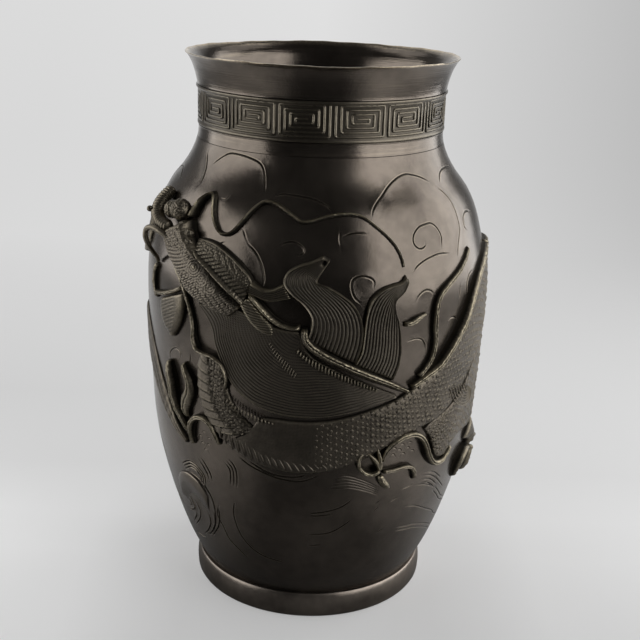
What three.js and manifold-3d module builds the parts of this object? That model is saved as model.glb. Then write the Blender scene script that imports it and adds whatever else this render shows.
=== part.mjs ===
// A cast bronze vase with a dragon in high relief, as a three.js scene graph.
// Millimetres, +Z up, origin at the middle of the foot's underside, front towards -Y.
// The vessel is turned from five rings and shells; each limb, lock and horn of the dragon is a
// separate casting that is soldered on, so it lies on the belly with a solder gap beneath it.

import * as THREE from 'three';
import { mergeVertices } from 'three/addons/utils/BufferGeometryUtils.js';
import Module from 'manifold-3d';

const wasm = await Module();
wasm.setup();

// Driving dimensions of the vessel
const footHeight = 13.7;
const footRadius = 66.1;
const footTaper = 0.8;
const footBulge = 0.7;
const footBevel = 0.9;
const footWall = 8.6;
const footLedge = 3.4;
const ledgeHeight = 7.6;
const bellyHeight = 242;
const bellyRadius = 93.1;
const bellyStep = 1.5;
const bellyWall = 3.2;
const neckRadius = 65.1;
const neckHeight = 44.3;
const neckWall = 3;
const rimFlare = 7.2;
const rimThickness = 1.5;
const basePlateThickness = 3;
const bandBottom = 7;
const bandHeight = 20.2;
const bandThickness = 1.2;
const bandProud = 0.35;
const beadHeight = 1.6;
const beadProud = 0.75;
const turnedSides = 60;

// Clearances: between pieces that seat on each other, and under the relief
const seatGap = 0.3;
const solderGap = 0.35;

// The relief is drawn on a belly of this height, and stretches with the belly it lies on.
const drawnFootHeight = 13.7;
const drawnBellyHeight = 242;

// Heights of the relief above the belly
const headHeight = 7.5;
const snoutHeight = 10;
const crestHeight = 8.5;
const hornHeight = 6.6;
const maneHeight = 2.8;
const whiskerHeight = 3.6;
const trunkHeight = 3.6;
const flankHeight = 1.9;
const spineHeight = 5;
const flankSpineHeight = 3.2;
const ribbonHeight = 3.2;
const clawHeight = 5;
const forelegHeight = 1.3;
const hindToeHeight = 6.6;
const waveHeight = 1.6;

// Widths of the relief's narrow pieces
const hornWidth = 4.6;
const whiskerWidth = 2.6;
const spineWidth = 4;
const ribbonWidth = 3;
const waveRibbonWidth = 3.4;
const loopRadius = 1.4;
const noseRadius = 6.2;
const lipRadius = 3.1;
const eyeRadius = 1.9;
const knobRadius = 1.7;

// Radii and heights where one vessel piece ends and the next begins
const footTopRadius = footRadius - footTaper;
const bellyFootRadius = footTopRadius - bellyStep;
const rimRadius = neckRadius + rimFlare;
const bellyBottom = footHeight + seatGap;
const bellyTop = footHeight + bellyHeight;
const neckBottom = bellyTop + seatGap;
const rimTop = bellyTop + neckHeight;
const bandLow = bellyTop + bandBottom;
const bandTop = bandLow + bandHeight;

// The belly's outline: share of its height, then share of the way out to its fullest radius,
// from the foot below the fullest place and from the neck above it.
const risingOutline = [
  [0, 0], [0.066, 0.262], [0.149, 0.507], [0.252, 0.743],
  [0.355, 0.893], [0.459, 0.948], [0.562, 0.98], [0.665, 1]
];
const fallingOutline = [
  [0.748, 0.964], [0.81, 0.842], [0.86, 0.712], [0.902, 0.527],
  [0.934, 0.307], [0.967, 0.132], [1, 0.025]
];
// The neck's outline: share of its height, then share of the way out to the rim.
const neckOutline = [[0.18, 0], [0.42, 0.01], [0.64, 0.12], [0.82, 0.4], [0.94, 0.74], [1, 1]];

const outlineKnots = [
  ...risingOutline.map(([h, k]) => [
    footHeight + h * bellyHeight, bellyFootRadius + k * (bellyRadius - bellyFootRadius)
  ]),
  ...fallingOutline.map(([h, k]) => [
    footHeight + h * bellyHeight, neckRadius + k * (bellyRadius - neckRadius)
  ]),
  ...neckOutline.map(([h, k]) => [
    bellyTop + h * neckHeight, neckRadius + k * (rimRadius - neckRadius)
  ])
];

// Radius of the vessel's outside at a height, on a smooth curve through the outline's knots.
function radiusAt(height) {
  const knots = outlineKnots;
  const last = knots.length - 1;
  const z = Math.min(Math.max(height, knots[0][0]), knots[last][0]);
  let k = 0;
  while (k < last - 1 && z > knots[k + 1][0]) k += 1;
  const slope = (i) => {
    const low = Math.max(i - 1, 0);
    const high = Math.min(i + 1, last);
    return (knots[high][1] - knots[low][1]) / (knots[high][0] - knots[low][0]);
  };
  const span = knots[k + 1][0] - knots[k][0];
  const t = (z - knots[k][0]) / span;
  const startPart = (1 + 2 * t) * (1 - t) ** 2 * knots[k][1] + t * (1 - t) ** 2 * span * slope(k);
  const endPart = t ** 2 * (3 - 2 * t) * knots[k + 1][1] + t ** 2 * (t - 1) * span * slope(k + 1);
  return startPart + endPart;
}

// Materials
const bronze = new THREE.MeshStandardMaterial({ color: 0x37332e, roughness: 0.36, metalness: 0.9 });
const reliefBronze = new THREE.MeshStandardMaterial({ color: 0x443f36, roughness: 0.45, metalness: 0.9 });
const wornBronze = new THREE.MeshStandardMaterial({ color: 0x5b503f, roughness: 0.4, metalness: 0.9 });

const vase = new THREE.Group();

function addPiece(name, geometry, material) {
  const mesh = new THREE.Mesh(geometry, material);
  mesh.name = name;
  vase.add(mesh);
}

// A ring or shell turned about the vase's axis from a closed profile of [radius, height] points.
function turned(profile) {
  const points = [...profile, profile[0]].map(([radius, height]) => new THREE.Vector2(radius, height));
  const geometry = new THREE.LatheGeometry(points, turnedSides);
  return geometry.rotateX(Math.PI / 2);
}

function range(start, end, steps) {
  return Array.from({ length: steps + 1 }, (_, i) => start + (end - start) * i / steps);
}

// Foot: a cast ring with a slightly bulged side, and a ledge inside that carries the base plate.
const footInside = footRadius - footWall;
const plateSeatRadius = footInside + footLedge;
addPiece('foot_ring', turned([
  [footInside, 0], [footRadius, 0],
  [footRadius + footBulge, footHeight * 0.4],
  [footTopRadius, footHeight - footBevel], [footTopRadius - footBevel, footHeight],
  [plateSeatRadius, footHeight], [plateSeatRadius, ledgeHeight], [footInside, ledgeHeight]
]), bronze);

// Base plate: a disc let into the foot ring's ledge and soldered round its edge.
const plateRadius = plateSeatRadius - seatGap;
const basePlate = new THREE.CylinderGeometry(plateRadius, plateRadius, basePlateThickness, turnedSides);
basePlate.rotateX(Math.PI / 2);
basePlate.translate(0, 0, ledgeHeight + seatGap + basePlateThickness / 2);
addPiece('base_plate', basePlate, bronze);

// Belly: one thin shell from the foot ring to the neck.
const bellyRows = [0, 0.06, 0.13, 0.21, 0.31, 0.42, 0.55, 0.67, 0.76, 0.83, 0.88, 0.92, 0.95, 0.975, 1];
const bellyProfile = (rows, offset) => rows.map((share) => {
  const height = THREE.MathUtils.lerp(bellyBottom, bellyTop, share);
  return [radiusAt(height) + offset, height];
});
const innerRows = bellyRows.filter((_, i) => i % 2 === 0).reverse();
addPiece('belly_shell', turned([
  ...bellyProfile(bellyRows, 0), ...bellyProfile(innerRows, -bellyWall)
]), bronze);

// Neck: a collar brazed on the belly, with a rebate for the key band and a flared, thin lip.
const rebateRadius = (height) => radiusAt(height) - bandThickness;
const rebateLow = bandLow - seatGap;
const rebateTop = bandTop + seatGap;
const flareHeights = range(rebateTop, rimTop, 3);
const innerHeights = [rimTop, rimTop - neckHeight * 0.08, bandTop, bandLow, neckBottom];
addPiece('neck_collar', turned([
  [radiusAt(neckBottom), neckBottom], [radiusAt(rebateLow), rebateLow],
  [rebateRadius(rebateLow), rebateLow], [rebateRadius(rebateTop), rebateTop],
  ...flareHeights.map((height) => [radiusAt(height), height]),
  ...innerHeights.map((height, i) => [radiusAt(height) - (i === 0 ? rimThickness : neckWall), height])
]), bronze);

// Key band: a strip of fretwork soldered into the neck's rebate, with a bead along each edge.
const bandInside = (height) => rebateRadius(height) + seatGap;
const bandFace = (height) => radiusAt(height) + bandProud;
addPiece('key_band', turned([
  [bandInside(bandLow), bandLow], [radiusAt(bandLow) + beadProud, bandLow],
  [bandFace(bandLow), bandLow + beadHeight], [bandFace(bandTop), bandTop - beadHeight],
  [radiusAt(bandTop) + beadProud, bandTop], [bandInside(bandTop), bandTop]
]), wornBronze);

// The relief. A place on the belly is [degrees round from the front, drawn height], and its lift
// is the distance out from the belly's surface.
const degree = Math.PI / 180;
const degreesToMm = bellyRadius * degree;

function place(degrees, drawnHeight, lift) {
  const height = footHeight + (drawnHeight - drawnFootHeight) * bellyHeight / drawnBellyHeight;
  const radius = radiusAt(height) + lift;
  return new THREE.Vector3(
    radius * Math.sin(degrees * degree), -radius * Math.cos(degrees * degree), height
  );
}

// A three.js geometry becomes a solid, facing outwards.
function solidOf(geometry) {
  const bare = geometry.clone();
  bare.deleteAttribute('normal');
  bare.deleteAttribute('uv');
  const merged = mergeVertices(bare, 1e-5);
  const triangles = Uint32Array.from(merged.index.array);
  const points = Float32Array.from(merged.attributes.position.array);
  let volume = 0;
  const corner = (i) => new THREE.Vector3().fromArray(points, 3 * i);
  for (let i = 0; i < triangles.length; i += 3) {
    const [a, b, c] = [triangles[i], triangles[i + 1], triangles[i + 2]].map(corner);
    volume += a.dot(b.cross(c));
  }
  if (volume < 0) {
    for (let i = 0; i < triangles.length; i += 3) {
      [triangles[i], triangles[i + 1]] = [triangles[i + 1], triangles[i]];
    }
  }
  return new wasm.Manifold(new wasm.Mesh({ numProp: 3, vertProperties: points, triVerts: triangles }));
}

function geometryOf(solid) {
  const mesh = solid.getMesh();
  const geometry = new THREE.BufferGeometry();
  geometry.setAttribute('position', new THREE.BufferAttribute(Float32Array.from(mesh.vertProperties), 3));
  geometry.setIndex(new THREE.BufferAttribute(Uint32Array.from(mesh.triVerts), 1));
  geometry.computeVertexNormals();
  return geometry;
}

// A number along a piece: one value, or a list that is followed evenly from start to end.
function along(values, share) {
  if (!Array.isArray(values)) return values;
  const spot = share * (values.length - 1);
  const low = Math.min(Math.floor(spot), values.length - 2);
  return THREE.MathUtils.lerp(values[low], values[low + 1], spot - low);
}

const railCurve = (points) => new THREE.SplineCurve(
  points.map(([degrees, height]) => new THREE.Vector2(degrees * degreesToMm, height))
);

// Cross sections: share of the way across, share of the height there. The floor lies on the solder.
const narrowSection = { top: [[0, 0.45], [0.5, 1], [1, 0.45]], floor: [0, 1] };
const wideSection = {
  top: [[0, 0.4], [0.14, 0.95], [0.5, 1], [0.86, 0.95], [1, 0.4]],
  floor: [0, 0.33, 0.67, 1]
};
const leafSection = { top: [[0, 0.3], [0.4, 0.7], [0.86, 1], [1, 0.75]], floor: [0, 0.5, 1] };
const ringSpacing = 5.5;
const leastLift = 0.75;

// The space that a piece needs reaches from below the belly's surface to above all the relief.
const spaceBelow = -2;
const spaceAbove = 30;

// A band of relief between two rails, closed all round. With grow it is the space that the band
// needs, with that much room round it.
function bandSolid({ leftRail, rightRail, height, section = wideSection, grow = 0 }) {
  const left = railCurve(leftRail);
  const right = railCurve(rightRail);
  const steps = Math.ceil(Math.max(left.getLength(), right.getLength()) / ringSpacing);
  const middle = (share) => left.getPoint(share).add(right.getPoint(share)).multiplyScalar(0.5);
  const liftAt = (share, portion) => Math.max(along(height, share) * portion, leastLift);
  const positions = [];
  for (const share of range(0, 1, steps)) {
    const ends = [left.getPoint(share), right.getPoint(share)];
    const across = ends[1].clone().sub(ends[0]).setLength(grow);
    ends[0].sub(across);
    ends[1].add(across);
    if (share === 0 || share === 1) {
      const next = share === 0 ? 1 / steps : 1 - 1 / steps;
      const outward = middle(share).sub(middle(next)).setLength(grow);
      ends.forEach((end) => end.add(outward));
    }
    const spotAt = (t, lift) => {
      const spot = ends[0].clone().lerp(ends[1], t);
      return place(spot.x / degreesToMm, spot.y, lift);
    };
    const roof = section.top.map(([t, portion]) => spotAt(t, grow > 0 ? spaceAbove : liftAt(share, portion)));
    const floor = section.floor.map((t) => spotAt(t, grow > 0 ? spaceBelow : solderGap));
    positions.push(...roof, ...floor.reverse());
  }

  const around = section.top.length + section.floor.length;
  const triangles = [];
  for (let i = 0; i < steps; i += 1) {
    for (let j = 0; j < around; j += 1) {
      const here = i * around + j;
      const beside = i * around + (j + 1) % around;
      triangles.push(here, beside, here + around, beside, beside + around, here + around);
    }
  }
  triangles.push(...endFace(section, 0), ...endFace(section, steps * around).reverse());

  const geometry = new THREE.BufferGeometry().setFromPoints(positions);
  geometry.setIndex(triangles);
  return solidOf(geometry);
}

// The flat end of a band, laced between its roof points and its floor points from left to right.
function endFace({ top, floor }, first) {
  const lastFloor = first + top.length + floor.length - 1;
  const triangles = [];
  let i = 0;
  let j = 0;
  while (i < top.length - 1 || j < floor.length - 1) {
    const roofNext = j === floor.length - 1 || (i < top.length - 1 && top[i + 1][0] <= floor[j + 1]);
    if (roofNext) {
      triangles.push(first + i, lastFloor - j, first + i + 1);
      i += 1;
    } else {
      triangles.push(first + i, lastFloor - j, lastFloor - j - 1);
      j += 1;
    }
  }
  return triangles;
}

// A strand is a narrow band along one line, with its rails half its width to either side.
function strand({ line, width, height, section = narrowSection }) {
  const curve = railCurve(line);
  const leftRail = [];
  const rightRail = [];
  for (const share of range(0, 1, 2 * (line.length - 1))) {
    const middle = curve.getPoint(share);
    const direction = curve.getTangent(share);
    const half = along(width, share) / 2;
    leftRail.push([(middle.x - direction.y * half) / degreesToMm, middle.y + direction.x * half]);
    rightRail.push([(middle.x + direction.y * half) / degreesToMm, middle.y - direction.x * half]);
  }
  return { leftRail, rightRail, height, section };
}

// A cord that leaves the surface, through points of [degrees, drawn height, lift].
function cordSolid(points, radius, sides, steps) {
  const curve = new THREE.CatmullRomCurve3(points.map((spot) => place(...spot)));
  const section = new THREE.Shape();
  range(0, 2 * Math.PI, sides).slice(0, -1).forEach((angle, i) => {
    const [x, y] = [radius * Math.cos(angle), radius * Math.sin(angle)];
    if (i === 0) section.moveTo(x, y);
    else section.lineTo(x, y);
  });
  return solidOf(new THREE.ExtrudeGeometry(section, { extrudePath: curve, steps, curveSegments: 1 }));
}

function ballSolid(spot, radius, detail) {
  const ball = new THREE.SphereGeometry(radius, detail, Math.round(detail * 0.6));
  const centre = place(...spot);
  ball.translate(centre.x, centre.y, centre.z);
  return solidOf(ball);
}

// The space taken by the belly and the solder under the relief
const bellySpace = solidOf(turned([
  [1, bellyBottom - 1], ...bellyProfile(bellyRows, solderGap), [1, bellyTop]
]));

// Each piece of relief is cut clear of the ones set before it, which lie over it or beside it.
const laidSpaces = [];

function boxesMeet(first, second) {
  const a = first.boundingBox();
  const b = second.boundingBox();
  return [0, 1, 2].every((k) => a.min[k] <= b.max[k] && b.min[k] <= a.max[k]);
}

function layPiece(name, material, solid, space) {
  let trimmed = solid;
  for (const laid of laidSpaces) {
    if (boxesMeet(trimmed, laid)) trimmed = trimmed.subtract(laid);
  }
  const [largest] = trimmed.decompose().sort((a, b) => b.volume() - a.volume());
  addPiece(name, geometryOf(largest), material);
  laidSpaces.push(space);
}

// Bands that belong to one casting are joined before it is laid.
function layBands(name, material, bands) {
  const joined = (grow) => bands.map((band) => bandSolid({ ...band, grow })).reduce((all, one) => all.add(one));
  layPiece(name, material, joined(0), joined(seatGap));
}

function layBand(name, material, band) {
  layBands(name, material, [band]);
}

function layStrand(name, material, form) {
  layBands(name, material, [strand(form)]);
}

function layCord(name, material, points, radius, sides, steps) {
  const solid = cordSolid(points, radius, sides, steps).subtract(bellySpace);
  layPiece(name, material, solid, cordSolid(points, radius + seatGap, sides, steps));
}

function layBall(name, material, centre, radius, detail) {
  const solid = ballSolid(centre, radius, detail).subtract(bellySpace);
  layPiece(name, material, solid, ballSolid(centre, radius + seatGap, detail));
}

// Nose: a rough ball at the tip of the snout, seated on the belly.
layBall('nose', reliefBronze, [-50.5, 227.4, 5.5], noseRadius, 12);

// Lip: a ribbed roll that curls round behind the nose.
layCord('lip_roll', reliefBronze, [
  [-66, 233.5, 1.5], [-65.5, 229, 4.5], [-63.8, 225, 7], [-61, 221.2, 8.2], [-57, 218.2, 8], [-52, 217, 7]
], lipRadius, 8, 10);

// Nose knob: a small bead on the outside of the lip's curl.
layBall('nose_knob', reliefBronze, [-62.8, 223.4, 12], knobRadius, 8);

// Whisker loop: a cord that stands clear of the vase at the corner of the mouth.
layCord('whisker_loop', reliefBronze, [
  [-51, 212.8, 7.5], [-53.5, 215.2, 10.8], [-56.6, 216.4, 12.8], [-59.2, 214.6, 13.3], [-59.6, 210.6, 12.7],
  [-59.2, 206, 10.1], [-59.6, 202, 6.4], [-60.6, 198.6, 3], [-61.4, 195.6, 1.2]
], loopRadius, 7, 18);

// Long whisker: a cord that runs from the nose over the shoulder in two waves.
layStrand('long_whisker', wornBronze, {
  line: [
    [-45.8, 223.3], [-45.3, 228.2], [-44.4, 232.6], [-42, 235.4], [-40.2, 234], [-38.4, 229], [-36.5, 224.4],
    [-33.8, 220], [-31, 218.8], [-28, 221], [-25.4, 226], [-22.8, 231.4], [-20, 235], [-17, 235.6],
    [-13.6, 234.2], [-9.6, 231.2], [-5.6, 228.2], [-2, 228.6], [2.4, 230.4], [7, 231.6], [11.6, 231.6],
    [15.4, 230.2], [19, 226.4], [22.4, 222], [25.4, 216.8], [27.2, 211.4], [27.9, 206.4]
  ],
  width: [2.4, whiskerWidth, whiskerWidth, whiskerWidth, 2.2, 1.6],
  height: [6, whiskerHeight, whiskerHeight, whiskerHeight, 2.4, 1.6, 1.2]
});

// Eye: a bead set in the side of the head.
layBall('eye', wornBronze, [-38.4, 202.3, headHeight - 0.6], eyeRadius, 10);

// Brow crest: a long ribbed leaf that stands along the top of the head.
layBand('brow_crest', wornBronze, {
  leftRail: [
    [-41.4, 212.6], [-40, 214.9], [-36.2, 215.2], [-31.7, 213.9],
    [-27.1, 210.5], [-23.4, 206.7], [-20.4, 202.6], [-18.9, 199]
  ],
  rightRail: [
    [-41.2, 211.6], [-39.2, 208.8], [-36.2, 205.8], [-32.7, 202.4],
    [-29.2, 198.4], [-26, 194.8], [-23.3, 191.4], [-21.2, 188.4]
  ],
  height: [5, crestHeight, crestHeight, crestHeight, 7],
  section: leafSection
});

// Horn: a ridged spike that lies over the mane and ends at the trunk.
layStrand('horn', wornBronze, {
  line: [
    [-3, 178.9], [-2.8, 174], [-0.7, 169.5], [3.7, 164.6], [8.4, 160.5],
    [13, 156.6], [17.7, 152.8], [22.3, 149.1], [26.8, 145.1], [30.4, 142.2]
  ],
  width: [3, hornWidth, hornWidth, hornWidth, hornWidth, 3.6, 2],
  height: [5, hornHeight, hornHeight, hornHeight, hornHeight, 5.5, 4]
});

// Horn root: the cord between the crest and the horn.
layStrand('horn_root', wornBronze, {
  line: [[-20.4, 194.6], [-17.6, 190.4], [-14.9, 186], [-12.4, 182.4], [-9.6, 179.9], [-6.6, 178.8], [-3.6, 179.4]],
  width: [3.4, 3, 2.6, 2.4, 2.4],
  height: [5.5, 5, 5]
});

// Temple tuft: a short bar of hair from the crest to the upper lock.
layBand('temple_tuft', wornBronze, {
  leftRail: [[-20.4, 202.6], [-18, 198.4], [-15.4, 196.9], [-12.6, 197.2], [-9.4, 200.2]],
  rightRail: [[-20.6, 194.6], [-17.2, 192.8], [-14.6, 191.4], [-12, 191.2], [-6.4, 193.4]],
  height: [6, 5, 4.4, 3.4],
  section: narrowSection
});

// Nape tuft: combed hair below the crest's end.
layBand('nape_tuft', wornBronze, {
  leftRail: [[-19.4, 193.4], [-16.6, 187.6], [-14.4, 183.4], [-12.4, 179.6], [-11.6, 174.6]],
  rightRail: [[-23.4, 190.6], [-21.4, 184.6], [-19.4, 179.4], [-16.6, 175.4], [-13.4, 173]],
  height: [6.5, 5.5, 4.5, 3]
});

// Head: skull, cheek and jaw in one casting, from the nape to the mouth.
layBand('head', reliefBronze, {
  leftRail: [
    [-26, 180.2], [-31, 182.4], [-36.6, 186], [-41, 189.6], [-43.8, 194.4],
    [-46.8, 199.6], [-50, 204.6], [-52.6, 210], [-54, 216]
  ],
  rightRail: [
    [-21.5, 187], [-24, 191], [-27, 195.5], [-30.4, 200], [-33.8, 203.8],
    [-37, 207.2], [-40.4, 212], [-43.6, 217.6], [-45.4, 222.6]
  ],
  height: [4.5, 6, headHeight, headHeight, headHeight, 8, 9, snoutHeight, snoutHeight]
});

// Jaw whisker: a strand that hangs from the jaw down to the claw below.
layStrand('jaw_whisker', reliefBronze, {
  line: [
    [-50.6, 202.6], [-47.4, 197.6], [-44.6, 192.4], [-43, 187], [-42.2, 181.6],
    [-41, 176], [-40, 170.4], [-39.8, 164.8], [-38.4, 160.2], [-35.4, 158.4], [-31.8, 157.8],
    [-29, 155.2], [-27.5, 150.8], [-27.1, 146.4], [-27.7, 141]
  ],
  width: [2, 2.4, 2.4, 2.4, 2, 1.8, 1.6, 1.2],
  height: [4, 3.4, 3, 2.6, 3.4, 5, 5, 4.6, 4]
});

// Leaf bar: the short bar beside the jaw that the ribbed leaf hangs from.
layStrand('leaf_bar', wornBronze, {
  line: [[-61.6, 179.6], [-57.9, 180.9], [-53.2, 182.9], [-48.4, 186], [-44.6, 189.2]],
  width: [2.2, 2.6, 2.6, 2.2],
  height: [3.4, 4.2, 4.2, 4]
});

// Hanging leaf: a ribbed shell that tapers to a point.
layBand('hanging_leaf', reliefBronze, {
  leftRail: [[-57.2, 178.6], [-57.2, 173], [-56, 167.6], [-54, 163.4], [-51.2, 160.4]],
  rightRail: [[-44.4, 186.6], [-43.8, 181], [-44.4, 174.6], [-46.4, 167.8], [-49.8, 160.8]],
  height: [3.4, 4, 4, 3]
});

// Hanging whisker: the end of the whisker loop's cord, down the left side to the leaf.
layStrand('hanging_whisker', reliefBronze, {
  line: [[-62, 194.6], [-63.4, 190], [-63.6, 185], [-63, 180.4], [-61.6, 176.6]],
  width: [2.6, 2.4, 1.8],
  height: [2.6, 2.6, 2]
});

// Mane locks: two wave-shaped locks of combed hair behind the head.
layBand('mane_lock_lower', reliefBronze, {
  leftRail: [
    [11.6, 159.6], [13.6, 166], [14.2, 174], [14.6, 182], [15.5, 189],
    [17.4, 194.6], [20.4, 197.9], [23.8, 199.3], [26.6, 200.2], [28.2, 202.8]
  ],
  rightRail: [
    [24.6, 149.4], [26.4, 157], [26.9, 164], [26.6, 170], [26.2, 175],
    [25.4, 180], [24.2, 185], [24, 190.6], [27, 194.6], [29.3, 200]
  ],
  height: [maneHeight, maneHeight, maneHeight, 3.4, 3.4, 2.4]
});
layBand('mane_lock_upper', reliefBronze, {
  leftRail: [
    [-2.6, 172.6], [-1.4, 178.8], [-1.4, 184.6], [-3.8, 190.6], [-7.6, 195.6],
    [-9.8, 200.6], [-8.6, 205.6], [-5.4, 208.9], [-1.4, 211], [2, 213.6]
  ],
  rightRail: [
    [12.4, 159.6], [14, 168.6], [14.4, 177], [13.4, 184.8], [11, 191],
    [7.4, 195.6], [3.6, 199.2], [0.4, 200.9], [1.4, 205], [4.2, 211.6]
  ],
  height: [maneHeight, maneHeight, 3.2, 3.6, 3.6, 2.4]
});

// Mane fan: the broad beard that sweeps from the cheek under the horn.
layBand('mane_fan', reliefBronze, {
  leftRail: [
    [-38, 184], [-34.6, 178.4], [-32.2, 171.6], [-31.4, 164.4], [-29.8, 157], [-27.6, 150], [-24.6, 143],
    [-20, 137.4], [-14, 133.4], [-6.6, 131.4], [1, 131.4], [8.6, 133], [15.8, 135.4], [22, 138], [27, 139.6]
  ],
  rightRail: [
    [-30, 184.6], [-25.4, 185], [-22.4, 184.6], [-19, 182], [-15.4, 180.6], [-11.4, 178.4], [-8, 177.4],
    [-4.4, 176.4], [-2.6, 169], [-0.4, 164.4], [4.2, 159.6], [9, 155.4], [14.6, 150.8], [20.4, 146.2], [26.2, 141.8]
  ],
  height: [3.4, maneHeight, maneHeight, maneHeight, maneHeight, 2.2]
});

// Shoulder ribbon: a flame-like strand that rises beside the trunk.
layStrand('shoulder_ribbon', wornBronze, {
  line: [
    [59.7, 208.4], [56.2, 204], [52, 200], [47.5, 196.4], [43.8, 193.4], [41, 189.8], [39.8, 185.4],
    [39.3, 179.4], [39.3, 173.5], [39.7, 167.6], [39.4, 161.6], [38.4, 156.8], [36.4, 152.6], [34, 149.2]
  ],
  width: [1.6, ribbonWidth, ribbonWidth, ribbonWidth],
  height: [2, ribbonHeight, ribbonHeight, ribbonHeight]
});

// Spine ridge: the raised edge along the trunk's back, over the front and right side.
layStrand('spine_ridge', wornBronze, {
  line: [
    [31.2, 144.4], [36.2, 148.4], [42, 152.9], [46.4, 159.6], [50.6, 167], [54.6, 175.2],
    [58.4, 183.4], [62.4, 190], [67.4, 195.6], [73.6, 199.8], [81, 202.2]
  ],
  width: [3, spineWidth, spineWidth, spineWidth],
  height: [4, spineHeight, spineHeight, flankSpineHeight, flankSpineHeight]
});

// Small flame: a tongue of flame beside the lower lock.
layStrand('small_flame', wornBronze, {
  line: [[27.6, 178.4], [30.2, 178.8], [32.8, 180.6], [35.8, 182.3]],
  width: [2.4, 3.4, 1],
  height: [2.4, 3, 2]
});

// A claw: hooked talons that meet at a heel.
function layClaw(name, heel, talonTips) {
  layBands(name, wornBronze, talonTips.map((tip) => strand({
    line: [heel, ...tip],
    width: [3, 2.6, 1.2],
    height: [clawHeight, clawHeight, 3]
  })));
}

// Fore claw: grips the waves over the trunk's lower edge.
layClaw('fore_claw', [22.3, 100.4], [
  [[19.4, 98.9], [16.8, 100.6], [15.2, 104], [15.3, 108.2], [16.4, 111.4]],
  [[20.9, 105.4], [19.2, 108.8], [17.6, 111.2]],
  [[22, 104.8], [21.6, 109.4], [20.8, 113.6]]
]);

// Wave ribbon: the curling flame along the foreleg, below the trunk.
layStrand('wave_ribbon', wornBronze, {
  line: [
    [22.9, 104.6], [23.8, 109.4], [26.2, 114.3], [29.9, 117.2], [33.6, 117.5], [36.4, 115.4], [38.5, 111.6],
    [39.9, 107.3], [41.1, 103], [42.7, 99.2], [44.7, 96.2], [47.1, 94.8], [49.5, 95.2], [51.6, 97.6], [54, 101.2]
  ],
  width: [2, waveRibbonWidth, waveRibbonWidth, waveRibbonWidth, waveRibbonWidth, 2.4],
  height: [3.4, 4.5, 4.5, 4.5, 3.4]
});

// Heel spur: bends from the fore claw down to the waves.
layStrand('heel_spur', reliefBronze, {
  line: [[23.8, 98.6], [27.7, 98.4], [31.9, 98.9], [34.8, 97.4], [36.4, 93.6], [36.9, 89.4]],
  width: [2.2, 2.4, 2.4, 2.8, 1.6],
  height: [3.6, 3, 3, 3.4, 2.4]
});

// Hanging toe: the fourth toe of the fore claw.
layStrand('hanging_toe', wornBronze, {
  line: [[22.9, 97.2], [23.7, 93.6], [25.3, 90.4], [27.2, 87.7]],
  width: [1.8, 3.6, 3.6, 1],
  height: [3, 4, 4, 2]
});

// Left claw: two long toes that grip the clouds, and the curl at their heel.
layStrand('left_toe_inner', wornBronze, {
  line: [
    [-45.4, 148.2], [-43.2, 144.2], [-41.7, 139.4], [-42, 134], [-43.8, 129], [-44.8, 123.6], [-43.9, 118.6]
  ],
  width: [2.6, 4, 5, 6.4, 8, 6.4, 2],
  height: [3, clawHeight, clawHeight, clawHeight, 4.4, 4, 2.6]
});
layStrand('heel_curl', wornBronze, {
  line: [
    [-42.3, 104], [-42.7, 110.4], [-42.1, 116.4], [-39.6, 120.8],
    [-36.3, 121.9], [-33.6, 119.4], [-31.9, 114.4], [-30.9, 108.8]
  ],
  width: [2, 3, 3, 3, 2.8, 1.8],
  height: [2.6, 4.4, 4.4, 4.4, 4, 2.6]
});
layStrand('left_toe_outer', wornBronze, {
  line: [[-53.2, 146.4], [-52.2, 140.4], [-51.2, 134], [-50.6, 128], [-48.8, 121], [-46, 114.6], [-44.6, 110]],
  width: [3, 5.4, 6, 5.6, 4.6, 3.6, 1.8],
  height: [3, clawHeight, clawHeight, clawHeight, 4.4, 3.4, 2.4]
});

// Left foreleg: comes round from the left side and narrows to the heel.
layStrand('left_foreleg', reliefBronze, {
  line: [[-84, 158], [-76, 148], [-69, 137], [-62.6, 126], [-57, 117], [-51.4, 109.6], [-45.4, 103.4]],
  width: [20, 19, 17, 13.6, 9.6, 6, 2.6],
  height: [forelegHeight, forelegHeight, forelegHeight, 1.6, 2.2, 2.6, 2.2],
  section: wideSection
});

// Neck: comes down from behind the beard, with a row of plates along its throat.
layBand('neck', reliefBronze, {
  leftRail: [
    [-36.6, 158.6], [-38.2, 153], [-38.6, 146], [-38.6, 138.6],
    [-37.8, 131.4], [-36.2, 124.6], [-33.4, 118.4], [-29.4, 112.6]
  ],
  rightRail: [
    [-31.4, 158], [-28.8, 155.4], [-27.6, 150.2], [-27.2, 144.4],
    [-26.6, 138.4], [-25, 132.8], [-22, 127.6], [-18.4, 123]
  ],
  height: [3, 4.4, 4.6, 4.2, trunkHeight]
});

// Front trunk: the scaled body, from the breast round the belly to the right side.
layBand('trunk_front', reliefBronze, {
  leftRail: [
    [-28.4, 111.6], [-21.6, 105], [-14.4, 101.4], [-7.2, 99.6], [0, 99.8], [7, 101.8], [13.4, 105], [20, 109.4],
    [27, 114.4], [34.2, 118.4], [41.4, 121.4], [48.4, 126], [55, 132.2], [61.2, 139.2], [67.4, 146.2],
    [74.2, 152.6], [82, 158]
  ],
  rightRail: [
    [-17.6, 122], [-16.6, 128.6], [-11.4, 129.6], [-5.8, 129.2], [0.4, 129.4], [6.6, 130.4], [12.8, 132.6],
    [19, 135.2], [25, 138], [30.4, 141.6], [35.4, 146.2], [41.4, 151], [46.6, 158.4], [51.6, 167], [58, 181],
    [66, 191.4], [80, 199]
  ],
  height: [trunkHeight, 3, 3, trunkHeight, trunkHeight, flankHeight, flankHeight]
});

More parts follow.
